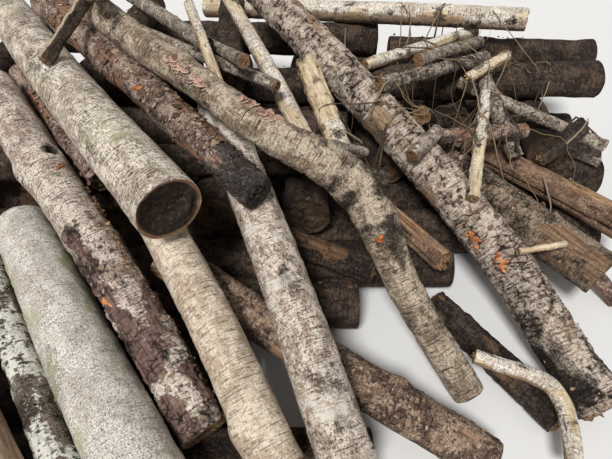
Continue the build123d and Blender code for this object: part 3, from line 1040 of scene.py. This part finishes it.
def without_stub(points):
    """Finds the stub's end as the highest ring along its direction, steps back to the bend, and gives
    the sections of the log alone with the bend's place."""
    outward = STUB_REACH / np.linalg.norm(STUB_REACH)
    high = points[points[:, 2] > STUB_ABOVE] @ outward
    tip = points[points[:, 2] > STUB_ABOVE][high > high.max() - TIP_DEPTH].mean(axis=0)
    bend = tip - STUB_REACH
    away = np.linalg.norm(points - bend, axis=1)
    centres, radii = sections_of(points[(away < STUB_BEYOND) | (away > 2 * STUB_BEYOND)])
    centres[np.argmin(np.linalg.norm(centres - bend, axis=1))] = bend
    return centres, radii, bend


centres, radii, bend = without_stub(corners_of("forked_log")[0])
forked_grid = LogGrid(centres, radii)
grid = forked_grid
marks = ring_marks(grid, 761, 0.026)
swelling = knot(grid, 0.3, grid.length * SWELLING_SHARE, 0.05, 0.006)
fork = np.exp(-(((grid.v - grid.length * FORK_SHARE) / FORK_REACH) ** 2))
relief = lobes(grid, 762, 0.04) - 0.003 * marks + swelling + 0.002 * grid.patches(14, 40, 763)
relief += 0.007 * fork * grid.patches(7, 28, 769, 3)
relief += sum(knot(grid, *place, 0.02, 0.006) for place in FORKED_KNOTS)
stain = 0.5 * marks + 0.5 * step(0.1, 0.9, grid.patches(4, 9, 764))
stain += 0.85 * fork * step(-0.7, 0.4, grid.patches(7, 28, 770, 3))
film = 0.3 * step(0.0, 0.9, grid.patches(6, 9, 765, 4)) * step(0.7, 1.1, grid.v)
log_piece(
    "forked_log", grid, relief, 0, stain, film, sawn(766, 0.4), sawn(767), forked_finish
)

grid = LogGrid(np.stack([bend, bend + STUB_REACH]), np.array(STUB_RADII), THIN_CELL)
relief = lobes(grid, 771, 0.15) + 0.006 * grid.patches(7, 34, 772)
outer_half = step(0.2, 1, grid.v / grid.length)
stain = 0.85 + 0.3 * outer_half * step(-0.6, 0.4, grid.patches(6, 30, 775))
log_piece(
    "forked_log",
    grid,
    relief,
    0,
    stain,
    0,
    sawn(773),
    broken(774, 0.016, 1.0),
    forked_finish,
    name="broken_stub",
)

# Brackets: small shelf fungi that grow out of the bark of four logs. They are leathery half discs, brown
# with a pale rim high on the forked log, and orange lower down on it and on the other three.
def on_bark(grid, at_u, at_v):
    """Places on a log's bark with the directions outward, along the log and across it."""
    last = len(grid.line) - 1
    row = np.clip((np.asarray(at_v) / grid.length * last).astype(int), 0, last)
    turn = 2 * np.pi * np.asarray(at_u)[:, None]
    outward = -grid.up[row] * np.cos(turn) + grid.side[row] * np.sin(turn)
    along = grid.tangent[row]
    return grid.line[row] + outward * grid.radius[row], outward, along, np.cross(outward, along)


def scraps(name, places, axes, sizes, material, seed, curl, ragged, rows=5, columns=8):
    """Many small closed lenses in one mesh. Each is a ball stretched by its three sizes along its three
    axes, with a ragged rim, and bent by curl times the square of the first coordinate along the third.
    finish holds how near a point is to the rim, how far under the lens, and the lens's own number."""
    rng = np.random.default_rng(seed)
    around = 2 * np.pi * np.arange(columns) / columns
    tilt = np.pi * (np.arange(rows) + 0.5) / rows
    first = np.outer(np.sin(tilt), np.cos(around))
    second = np.outer(np.sin(tilt), np.sin(around))
    third = np.outer(np.cos(tilt), np.ones(columns))
    ball = np.stack([first, second, third], axis=-1).reshape(-1, 3)
    ball = np.concatenate([[(0, 0, 1)], ball, [(0, 0, -1)]])
    count = len(places)
    off_axis = np.hypot(ball[:, 0], ball[:, 1])
    rim = 1 + ragged * rng.uniform(-1, 1, (count, len(ball), 1)) * off_axis[None, :, None]
    local = ball[None] * sizes[:, None, :]
    local[..., :2] *= rim
    local[..., 2] += curl * (ball[None, :, 0] ** 2) * sizes[:, :1]
    points = places[:, None] + sum(local[..., i : i + 1] * axes[i][:, None] for i in range(3))
    quads, triangles = face_grid(rows, columns)
    step_up = (np.arange(count) * len(ball))[:, None, None]
    quads = (quads[None, :, ::-1] + step_up).reshape(-1, 4)
    triangles = (triangles[None, :, ::-1] + step_up).reshape(-1, 3)
    finish = np.ones((count, len(ball), 4))
    finish[..., 0] = off_axis
    finish[..., 1] = (1 - ball[:, 2]) / 2
    finish[..., 2] = rng.uniform(0, 1, (count, 1))
    points, grain, finish = points.reshape(-1, 3), local.reshape(-1, 3), finish.reshape(-1, 4)
    mesh_piece(name, points, quads, triangles, grain, finish, material)


SCRAP_ROUGHNESS = 0.85
SCRAP_NOISE_CELLS = 240
NOISE_SHARE = 0.6
OWN_SHARE = 0.8
TONE_START = -0.2
RIM_SHARES = (0.78, 0.95)


def scrap_finish(name, tones, rim=None):
    """A tone between the ones given: at NOISE_SHARE of fine noise plus OWN_SHARE of the scrap's own number
    plus TONE_START. The rim may have its own colour."""
    material = bpy.data.materials.new(name)
    material.use_nodes = True
    nodes, links = material.node_tree.nodes, material.node_tree.links
    shader = nodes["Principled BSDF"]
    shader.inputs["Roughness"].default_value = SCRAP_ROUGHNESS
    shader.inputs["Specular IOR Level"].default_value = 0.25
    masks = nodes.new("ShaderNodeAttribute")
    masks.attribute_name = "finish"
    split = nodes.new("ShaderNodeSeparateColor")
    links.new(masks.outputs["Color"], split.inputs["Color"])
    place = nodes.new("ShaderNodeTexCoord")
    texture = nodes.new("ShaderNodeTexNoise")
    texture.inputs["Scale"].default_value = SCRAP_NOISE_CELLS
    links.new(place.outputs["Object"], texture.inputs["Vector"])
    spread = nodes.new("ShaderNodeMath")
    spread.operation = "MULTIPLY_ADD"
    spread.inputs[1].default_value = NOISE_SHARE
    links.new(texture.outputs["Fac"], spread.inputs[0])
    own = nodes.new("ShaderNodeMath")
    own.operation = "MULTIPLY_ADD"
    own.inputs[1].default_value = OWN_SHARE
    own.inputs[2].default_value = TONE_START
    links.new(split.outputs["Blue"], own.inputs[0])
    links.new(own.outputs[0], spread.inputs[2])
    ramp = nodes.new("ShaderNodeValToRGB")
    ramp.color_ramp.elements[0].color = tones[0]
    ramp.color_ramp.elements[1].color = tones[-1]
    for number, tone in enumerate(tones[1:-1], 1):
        ramp.color_ramp.elements.new(number / (len(tones) - 1)).color = tone
    links.new(spread.outputs[0], ramp.inputs["Fac"])
    colour = ramp.outputs["Color"]
    if rim:
        edge = nodes.new("ShaderNodeMapRange")
        edge.inputs["From Min"].default_value = RIM_SHARES[0]
        edge.inputs["From Max"].default_value = RIM_SHARES[1]
        links.new(split.outputs["Red"], edge.inputs["Value"])
        blend = nodes.new("ShaderNodeMix")
        blend.data_type = "RGBA"
        blend.inputs["B"].default_value = rim
        links.new(edge.outputs["Result"], blend.inputs["Factor"])
        links.new(colour, blend.inputs["A"])
        colour = blend.outputs["Result"]
    links.new(colour, shader.inputs["Base Color"])
    return material


UP = np.array((0.0, 0.0, 1.0))
SHELF_SHAPE = (0.8, 1.0, 0.2)
SHELF_WIDTHS = (0.4, 1.3)


def brackets(name, grid, at_u, at_v, width, material, seed):
    """Shelves level with the ground: the first axis points away from the log, the third nearly up."""
    rng = np.random.default_rng(seed)
    places, outward, _, _ = on_bark(grid, at_u, at_v)
    third = unit(UP + 0.25 * outward + rng.normal(0, 0.3, outward.shape))
    second = unit(np.cross(third, outward))
    axes = (np.cross(second, third), second, third)
    wide = width * rng.uniform(*SHELF_WIDTHS, len(places))
    sizes = wide[:, None] * SHELF_SHAPE
    scraps(name, places, axes, sizes, material, seed, curl=-0.2, ragged=0.2, rows=8, columns=16)


bracket_finish = scrap_finish(
    "bracket_skin", (paint(82, 58, 48), paint(140, 100, 84), paint(188, 152, 134)), rim=paint(206, 180, 160)
)
orange_finish = scrap_finish(
    "orange_fungus", (paint(120, 68, 40), paint(176, 104, 60), paint(202, 146, 96))
)
SHELVES_IN_A_CLUSTER = 16


def clusters(middles, spread_u, spread_v, seed):
    """Places for shelves in clusters: each cluster's middle on the log plus a normal scatter."""
    rng = np.random.default_rng(seed)
    middles = np.repeat(np.array(middles), SHELVES_IN_A_CLUSTER, axis=0)
    return (middles + rng.normal(0, 1, middles.shape) * (spread_u, spread_v)).T


FORKED_LOG_CLUSTERS = ((0.605, 1.18), (0.6, 1.11), (0.45, 0.955), (0.48, 0.91))
MUSHROOM_SPOTS = ((0.6, 0.475), (0.62, 0.47))
RINGED_LOG_SPOTS = ((0.42, 0.79), (0.44, 0.775), (0.41, 0.78), (0.66, 0.374), (0.68, 0.344), (0.63, 0.36))
CHARRED_LOG_SPOTS = ((0.63, 0.478), (0.61, 0.468))
ROUGH_LOG_CLUSTERS = ((0.69, 0.545), (0.63, 0.44))
spots = clusters(FORKED_LOG_CLUSTERS, 0.022, 0.017, 771)
brackets("forked_log_brackets", forked_grid, *spots, 0.0115, bracket_finish, 772)
brackets("small_mushroom", forked_grid, *np.array(MUSHROOM_SPOTS).T, 0.012, orange_finish, 774)
brackets("ringed_log_fungi", ringed_grid, *np.array(RINGED_LOG_SPOTS).T, 0.0085, orange_finish, 775)
brackets("charred_log_fungi", charred_grid, *np.array(CHARRED_LOG_SPOTS).T, 0.009, orange_finish, 773)
spots = clusters(ROUGH_LOG_CLUSTERS, 0.02, 0.018, 776)
brackets("rough_bark_log_fungi", rough_grid, *spots, 0.0075, orange_finish, 777)

# Pale poles: thin bark bleached almost white, or none, with a brown underside that is painted shade.
# The long rail along the back is one of them, and the shredded log has dark spots in its pale wood.
pale_finish = bark_finish(
    "pale_bark",
    outer=(paint(232, 222, 208), paint(198, 184, 166), paint(128, 110, 94)),
    wood=(paint(222, 206, 176), paint(184, 158, 124)),
    # The brown of the undersides: painted shade.
    growth_and_shade=paint(134, 108, 82),
    cross_marks=0.55,
)


def pale_pole(node, seed, bare, shade, near, far, rough=0.0012, cell=POLE_CELL):
    """Soft lobes, short cross marks and a few long cracks; bare and shade are shares of patches that
    show wood and dark stain, and the underside is painted brown as painted shade."""
    grid = LogGrid.of(node, cell)
    marks = ring_marks(grid, seed, 0.02)
    crack = seams(grid, 6, 2.5, seed + 1, 0.05)
    relief = lobes(grid, seed + 2, 0.05) - rough * marks - 2 * rough * crack
    relief += rough * grid.patches(12, 40, seed + 3)
    wood = step(0.9 - bare, 1.1 - bare, grid.patches(4, 8, seed + 4, 4) + 0.5)
    spots = step(1.0 - shade, 1.7 - shade, grid.patches(6, 22, seed + 5, 4) + 0.5)
    stain = 0.35 * marks + 0.6 * crack + 0.7 * spots
    wander = 0.06 * grid.patches(5, 7, seed + 8, 4)
    # Painted shade: a brown band along the underside, carried in the growth mask.
    under = 0.9 * step(0.42, 0.2, np.abs((grid.u + 0.5) % 1 - 0.5) + wander)
    log_piece(node, grid, relief, wood, stain, under, near, far, pale_finish)


BRANCH_CELL = 0.003
pale_pole("pale_pole", 801, 0.1, 0.3, sawn(806), sawn(807))
pale_pole("shredded_log", 811, 0.9, 0.7, broken(816, 0.02), sawn(817), rough=0.004)
pale_pole("top_rail_log", 821, 0.05, 0.5, sawn(826), sawn(827))
pale_pole("bent_pole", 831, 0.1, 0.3, sawn(836), broken(837, 0.01), cell=THIN_CELL)
pale_pole("propped_pole", 841, 0.4, 0.5, broken(846, 0.01), broken(847, 0.01), rough=0.002, cell=THIN_CELL)
pale_pole("collared_pole", 851, 0.3, 0.5, sawn(856), sawn(857), cell=THIN_CELL)
pale_pole("pale_stick", 861, 0.4, 0.2, broken(866, 0.01), broken(867, 0.01), cell=THIN_CELL)
pale_pole("pale_branch", 871, 0.4, 0.2, broken(876, 0.006), broken(877, 0.006), cell=BRANCH_CELL)
torn_ends = broken(886, 0.02), broken(887, 0.02)
pale_pole("splintered_rail", 881, 0.9, 0.8, *torn_ends, rough=0.003, cell=THIN_CELL)

# Slim grey and brown poles on the crest and the right: whole bark in mottled greys, with sawn or torn
# ends. They lie loose over the thick logs.
slim_finish = bark_finish(
    "slim_bark",
    outer=(paint(168, 154, 138), paint(118, 102, 88), paint(60, 50, 43)),
    crust_share=0.35,
    wood=(paint(160, 128, 100), paint(112, 84, 64)),
    growth_and_shade=paint(214, 208, 190),
    blotch=45,
    cross_marks=0.8,
)


SLIM_CELL = 0.0045
STICK_CELL = 0.0035


def slim_pole(node, seed, shade, near, far, cell=SLIM_CELL):
    """Lobed round bar with cross marks; shade raises the share of dark stain."""
    grid = LogGrid.of(node, cell)
    marks = ring_marks(grid, seed, 0.025)
    spots = step(0.3, 0.8, grid.patches(6, 50, seed + 1, 3))
    relief = lobes(grid, seed + 2, 0.06) - 0.0015 * marks + 0.0015 * grid.patches(8, 50, seed + 3)
    stain = shade + 0.4 * marks + 0.4 * step(0.2, 0.9, grid.patches(3, 9, seed + 4))
    log_piece(node, grid, relief, 0, stain, 0.6 * spots, near, far, slim_finish)


slim_pole("broken_pole", 901, 0.25, broken(906, 0.01, 1.0), sawn(907))
slim_pole("sawn_pole", 911, 0.0, sawn(916, 1.0), sawn(917))
slim_pole("mottled_pole", 921, 0.1, sawn(926), sawn(927))
slim_pole("middle_rail", 931, 0.1, sawn(936), broken(937, 0.01))
slim_pole("background_rail", 941, 0.1, sawn(946), sawn(947))
slim_pole("grey_branch", 951, 0.4, sawn(956), broken(957, 0.01))
slim_pole("dark_rail", 961, 0.5, sawn(966), sawn(967))
slim_pole("small_rail", 971, 0.0, sawn(976), sawn(977))
slim_pole("grey_stick", 981, 0.0, broken(986, 0.006), broken(987, 0.006), STICK_CELL)

# Short stock: a rotting block on the right side, a grey chunk by the fork, and at the upper left a red
# brown wedge that was split along the grain. All lie loose.
rotting_log("short_block", 1001, SLIM_CELL)
slim_pole("grey_chunk", 1021, 0.1, sawn(1026), sawn(1027))
split_wood("split_wedge", 1031, SLIM_CELL)


# Torn strips: the black slab behind the thick logs at the right and the strip at the upper left. Both are
# bark that came off in one piece, damp and dark, and the left one has a pale torn edge.
def flat_strip(node, seed, thin, turn, pale):
    """A torn strip: its section is an ellipse as wide as the log, turned and thin by a share, with
    ragged edges, pale by a share, and a dark face."""
    grid = LogGrid.of(node, THIN_CELL)
    angle = 2 * np.pi * (grid.u - turn)
    reach = 1 / np.sqrt((np.cos(angle) / thin) ** 2 + np.sin(angle) ** 2)
    edge = step(0.86, 1.0, np.sin(angle))
    relief = grid.radius * (reach - 1) + 0.0015 * grid.patches(10, 40, seed)
    ragged = step(-0.2, 1, grid.patches(2, 12, seed + 1, 4)) * step(0.8, 1.0, np.abs(np.sin(angle)))
    relief -= 0.35 * grid.radius * ragged
    stain = 0.75 * step(-0.6, 0.5, grid.patches(8, 14, seed + 2)) * (1 - edge * pale)
    near, far = broken(seed + 3, 0.02), broken(seed + 4, 0.02)
    log_piece(node, grid, relief, 0, stain, edge * pale, near, far, strip_finish)


strip_finish = bark_finish(
    "torn_bark",
    outer=(paint(80, 65, 54), paint(52, 42, 35), paint(34, 27, 23)),
    wood=(paint(150, 118, 90), paint(104, 78, 60)),
    growth_and_shade=paint(196, 176, 148),
    crust=paint(140, 120, 100),
    crust_share=0.3,
    grain_depth=0.004,
)
flat_strip("black_slab", 1011, 0.45, 0.35, 0.0)
flat_strip("bark_strip", 1041, 0.3, 0.37, 1.0)

# Loose bark: flakes and curled scraps that have come off six of the logs and lie on their upper halves.
# Thin brown and grey pieces, none of them fixed.
flake_finish = scrap_finish(
    "loose_bark", (paint(56, 43, 36), paint(98, 78, 64), paint(138, 116, 97), paint(182, 162, 142))
)


FLAKE_SHAPE = (1.3, 0.9, 0.16)
FLAKE_LIFT = 0.0015
COARSE_CELL = 0.01


def loose_flakes(name, node, count, seed, low_v=0.0, high_v=1.0, size=0.005):
    """Flakes on the upper half of a log, mostly lying along it, each a thin curled lens."""
    rng = np.random.default_rng(seed)
    grid = LogGrid.of(node, COARSE_CELL)
    at_u = 0.5 + rng.normal(0, 0.13, count)
    at_v = grid.length * rng.uniform(low_v, high_v, count)
    places, outward, along, across = on_bark(grid, at_u, at_v)
    turn = rng.normal(0, 0.6, (count, 1))
    first = across * np.cos(turn) + along * np.sin(turn)
    third = unit(outward + rng.normal(0, 0.18, outward.shape))
    second = unit(np.cross(third, first))
    axes = (np.cross(second, third), second, third)
    wide = size * rng.lognormal(0, 0.35, count)
    places += FLAKE_LIFT * outward
    scraps(name, places, axes, wide[:, None] * FLAKE_SHAPE, flake_finish, seed, curl=0.3, ragged=0.3)


loose_flakes("ringed_log_flakes", "ringed_log", 120, 1101, 0.0, 0.5, 0.0036)
loose_flakes("charred_log_flakes", "charred_log", 420, 1102, 0.15, 0.9, 0.0048)
loose_flakes("shaded_log_flakes", "shaded_log", 100, 1103)
loose_flakes("crossing_log_flakes", "crossing_log", 110, 1104, size=0.0035)
loose_flakes("rough_bark_log_flakes", "rough_bark_log", 200, 1105, 0.0, 1.0, 0.0042)
loose_flakes("brown_log_flakes", "brown_log", 110, 1106, 0.1, 1.0, 0.0042)

# Twigs, creepers and litter: dry sticks thrown on the heap at the right and the back, dead creepers that
# have grown over them, and rotted leaves in the hollows. They lie loose on whatever is below.
heap_nodes = sorted(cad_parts)
heap_corners, heap_faces, owners = [], [], []
for number, node in enumerate(heap_nodes):
    points, faces = corners_of(node)
    heap_faces.append(faces + sum(map(len, heap_corners)))
    heap_corners.append(points)
    owners.append(np.full(len(faces), number))
owners = np.concatenate(owners)
heap_tree = BVHTree.FromPolygons(np.concatenate(heap_corners).tolist(), np.concatenate(heap_faces).tolist())
ABOVE = 2.0
SAG_REACH = 8
TAPER = 0.45


def heap_below(plan):
    """Where a ray straight down from each place in plan meets the heap: height, outward direction and
    the number of the node; the ground counts as no node."""
    height, normal, owner = np.zeros(len(plan)), np.tile(UP, (len(plan), 1)), np.full(len(plan), -1)
    for number, (x, y) in enumerate(plan):
        place, direction, face, _ = heap_tree.ray_cast((x, y, ABOVE), (0, 0, -1))
        if place:
            height[number], normal[number], owner[number] = place.z, direction, owners[face]
    return height, normal, owner


def twigs(name, scatter, bend, sag, material, seed, steps=22, sides=6):
    """Tapered tubes laid over the heap. In plan each runs from its start and turns by sums of random
    bends; its height is the lowest arch over the heap below it, let down by the sag's share."""
    rng = np.random.default_rng(seed)
    starts, lengths, thick, headings = scatter
    count = len(starts)
    turns = headings[:, None] + np.cumsum(rng.normal(0, bend, (count, steps)), axis=1)
    strides = (lengths / steps)[:, None, None] * np.stack([np.cos(turns), np.sin(turns)], axis=-1)
    plan = starts[:, None] + np.cumsum(strides, axis=1)
    below = heap_below(plan.reshape(-1, 2))[0].reshape(count, steps)
    place = np.arange(steps)
    before, after = place[:, None, None], place[None, :, None]
    share = (place - before) / np.maximum(after - before, 1)
    spans = (before <= place) & (place <= after)
    arches = below[:, :, None, None] * (1 - share) + below[:, None, :, None] * share
    arch = np.where(spans, arches, 0).max(axis=(1, 2))
    radius = thick[:, None] * np.linspace(1, TAPER, steps)
    spread = np.minimum(np.abs(place[:, None] - place), SAG_REACH)
    weights = (SAG_REACH - spread) / (SAG_REACH - spread).sum(axis=0)
    height = np.maximum(arch * (1 - sag) + (below @ weights) * sag, below) + radius
    line = np.concatenate([plan, height[..., None]], axis=-1)
    tangent = unit(np.gradient(line, axis=1))
    side = unit(np.cross(tangent, UP))
    up = np.cross(side, tangent)
    turn = 2 * np.pi * np.arange(sides) / sides
    spokes = up[:, :, None] * -np.cos(turn)[:, None] + side[:, :, None] * np.sin(turn)[:, None]
    body = line[:, :, None] + spokes * radius[..., None, None]
    points = np.concatenate([line[:, :1], body.reshape(count, -1, 3), line[:, -1:]], axis=1)
    quads, triangles = face_grid(steps, sides)
    shift = (np.arange(count) * points.shape[1])[:, None, None]
    quads, triangles = (quads[None] + shift).reshape(-1, 4), (triangles[None] + shift).reshape(-1, 3)
    finish = np.zeros((*points.shape[:2], 4))
    finish[..., 2] = rng.uniform(0, 1, (count, 1))
    points, finish = points.reshape(-1, 3), finish.reshape(-1, 4)
    mesh_piece(name, points, quads, triangles, points, finish, material)


RIGHT_END = 1.2


def scattered(rng, count, area, lengths, radii):
    """Random starts over an area in plan, with a length, a radius and a heading for each. None can
    reach past the heap's right end."""
    starts = np.stack([rng.uniform(*reach, count) for reach in area], axis=-1)
    length = np.minimum(rng.uniform(*lengths, count), RIGHT_END - starts[:, 0])
    return starts, length, rng.uniform(*radii, count), rng.uniform(-np.pi, np.pi, count)


twig_finish = scrap_finish("twig_bark", (paint(52, 42, 35), paint(104, 88, 72), paint(160, 142, 120)))
creeper_finish = scrap_finish("dry_creeper", (paint(96, 76, 54), paint(140, 116, 84), paint(180, 156, 120)))
TWIG_COUNT = 46
TWIG_AREA = ((0.2, 0.98), (-0.02, 0.72))
TWIG_LENGTHS = (0.1, 0.34)
TWIG_RADII = (0.0018, 0.0045)
CREEPER_COUNT = 26
CREEPER_AREA = ((0.24, 0.8), (0.1, 0.6))
CREEPER_LENGTHS = (0.14, 0.4)
CREEPER_RADII = (0.0009, 0.0017)
rng = np.random.default_rng(1201)
scatter = scattered(rng, TWIG_COUNT, TWIG_AREA, TWIG_LENGTHS, TWIG_RADII)
twigs("dry_twigs", scatter, 0.08, 0.0, twig_finish, 1202)
scatter = scattered(rng, CREEPER_COUNT, CREEPER_AREA, CREEPER_LENGTHS, CREEPER_RADII)
twigs("dry_creepers", scatter, 0.3, 0.2, creeper_finish, 1203, steps=40, sides=4)

LEAVES_DROPPED = 1500
LITTER_AREA = ((-0.85, 1.0), (-0.95, 0.8))
LEAF_LENGTHS = (0.004, 0.011)
LEAF_SHAPE = (1.0, 0.55, 0.09)
LEVEL_ENOUGH = 0.45
LEAF_LIFT = 0.004
plan = np.stack([rng.uniform(*reach, LEAVES_DROPPED) for reach in LITTER_AREA], axis=-1)
height, normal, owner = heap_below(plan)
hidden_numbers = [heap_nodes.index(group) for group in hidden_groups]
in_hollows = np.isin(owner, hidden_numbers) & (normal[:, 2] > LEVEL_ENOUGH)
plan, height, normal = plan[in_hollows], height[in_hollows], normal[in_hollows]
third = unit(normal + rng.normal(0, 0.2, normal.shape))
first = unit(np.cross(third, rng.normal(0, 1, normal.shape)))
axes = (first, np.cross(third, first), third)
sizes = rng.uniform(*LEAF_LENGTHS, len(plan))[:, None] * LEAF_SHAPE
places = np.column_stack([plan, height + LEAF_LIFT])
litter_finish = scrap_finish("rotted_leaves", (paint(46, 36, 28), paint(84, 65, 48), paint(124, 100, 74)))
scraps("leaf_litter", places, axes, sizes, litter_finish, 1205, curl=0.3, ragged=0.2)

# Dead creeper: the curled brown leaves of a creeper that has died along the right flank of the ringed
# log. They cling to the bark.
CREEPER_LEAVES = 70
CREEPER_START = (0.32, 0.7)
CREEPER_RUN = (0.115, -0.32)
CREEPER_SPREAD = 0.012
CREEPER_LIFT = 0.006
CREEPER_LEAF_LENGTHS = (0.004, 0.008)
CREEPER_LEAF_SHAPE = (1.0, 0.6, 0.1)
rng = np.random.default_rng(1301)
share = np.sort(rng.uniform(0, 1, CREEPER_LEAVES))
at_u = CREEPER_START[0] + CREEPER_RUN[0] * share + rng.normal(0, CREEPER_SPREAD, CREEPER_LEAVES)
at_v = CREEPER_START[1] + CREEPER_RUN[1] * share
places, outward, along, _ = on_bark(ringed_grid, at_u, at_v)
third = unit(outward + rng.normal(0, 0.6, outward.shape))
first = unit(np.cross(third, along))
axes = (first, np.cross(third, first), third)
sizes = rng.uniform(*CREEPER_LEAF_LENGTHS, CREEPER_LEAVES)[:, None] * CREEPER_LEAF_SHAPE
leaf_finish = scrap_finish("dry_leaves", (paint(84, 62, 46), paint(124, 96, 70), paint(164, 138, 108)))
places += CREEPER_LIFT * outward
scraps("creeper_leaves", places, axes, sizes, leaf_finish, 1302, curl=0.4, ragged=0.15)

heap_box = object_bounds()
sizes = {name: [list(map(float, corner)) for corner in box] for name, box in (("cad", cad_box), ("heap", heap_box))}
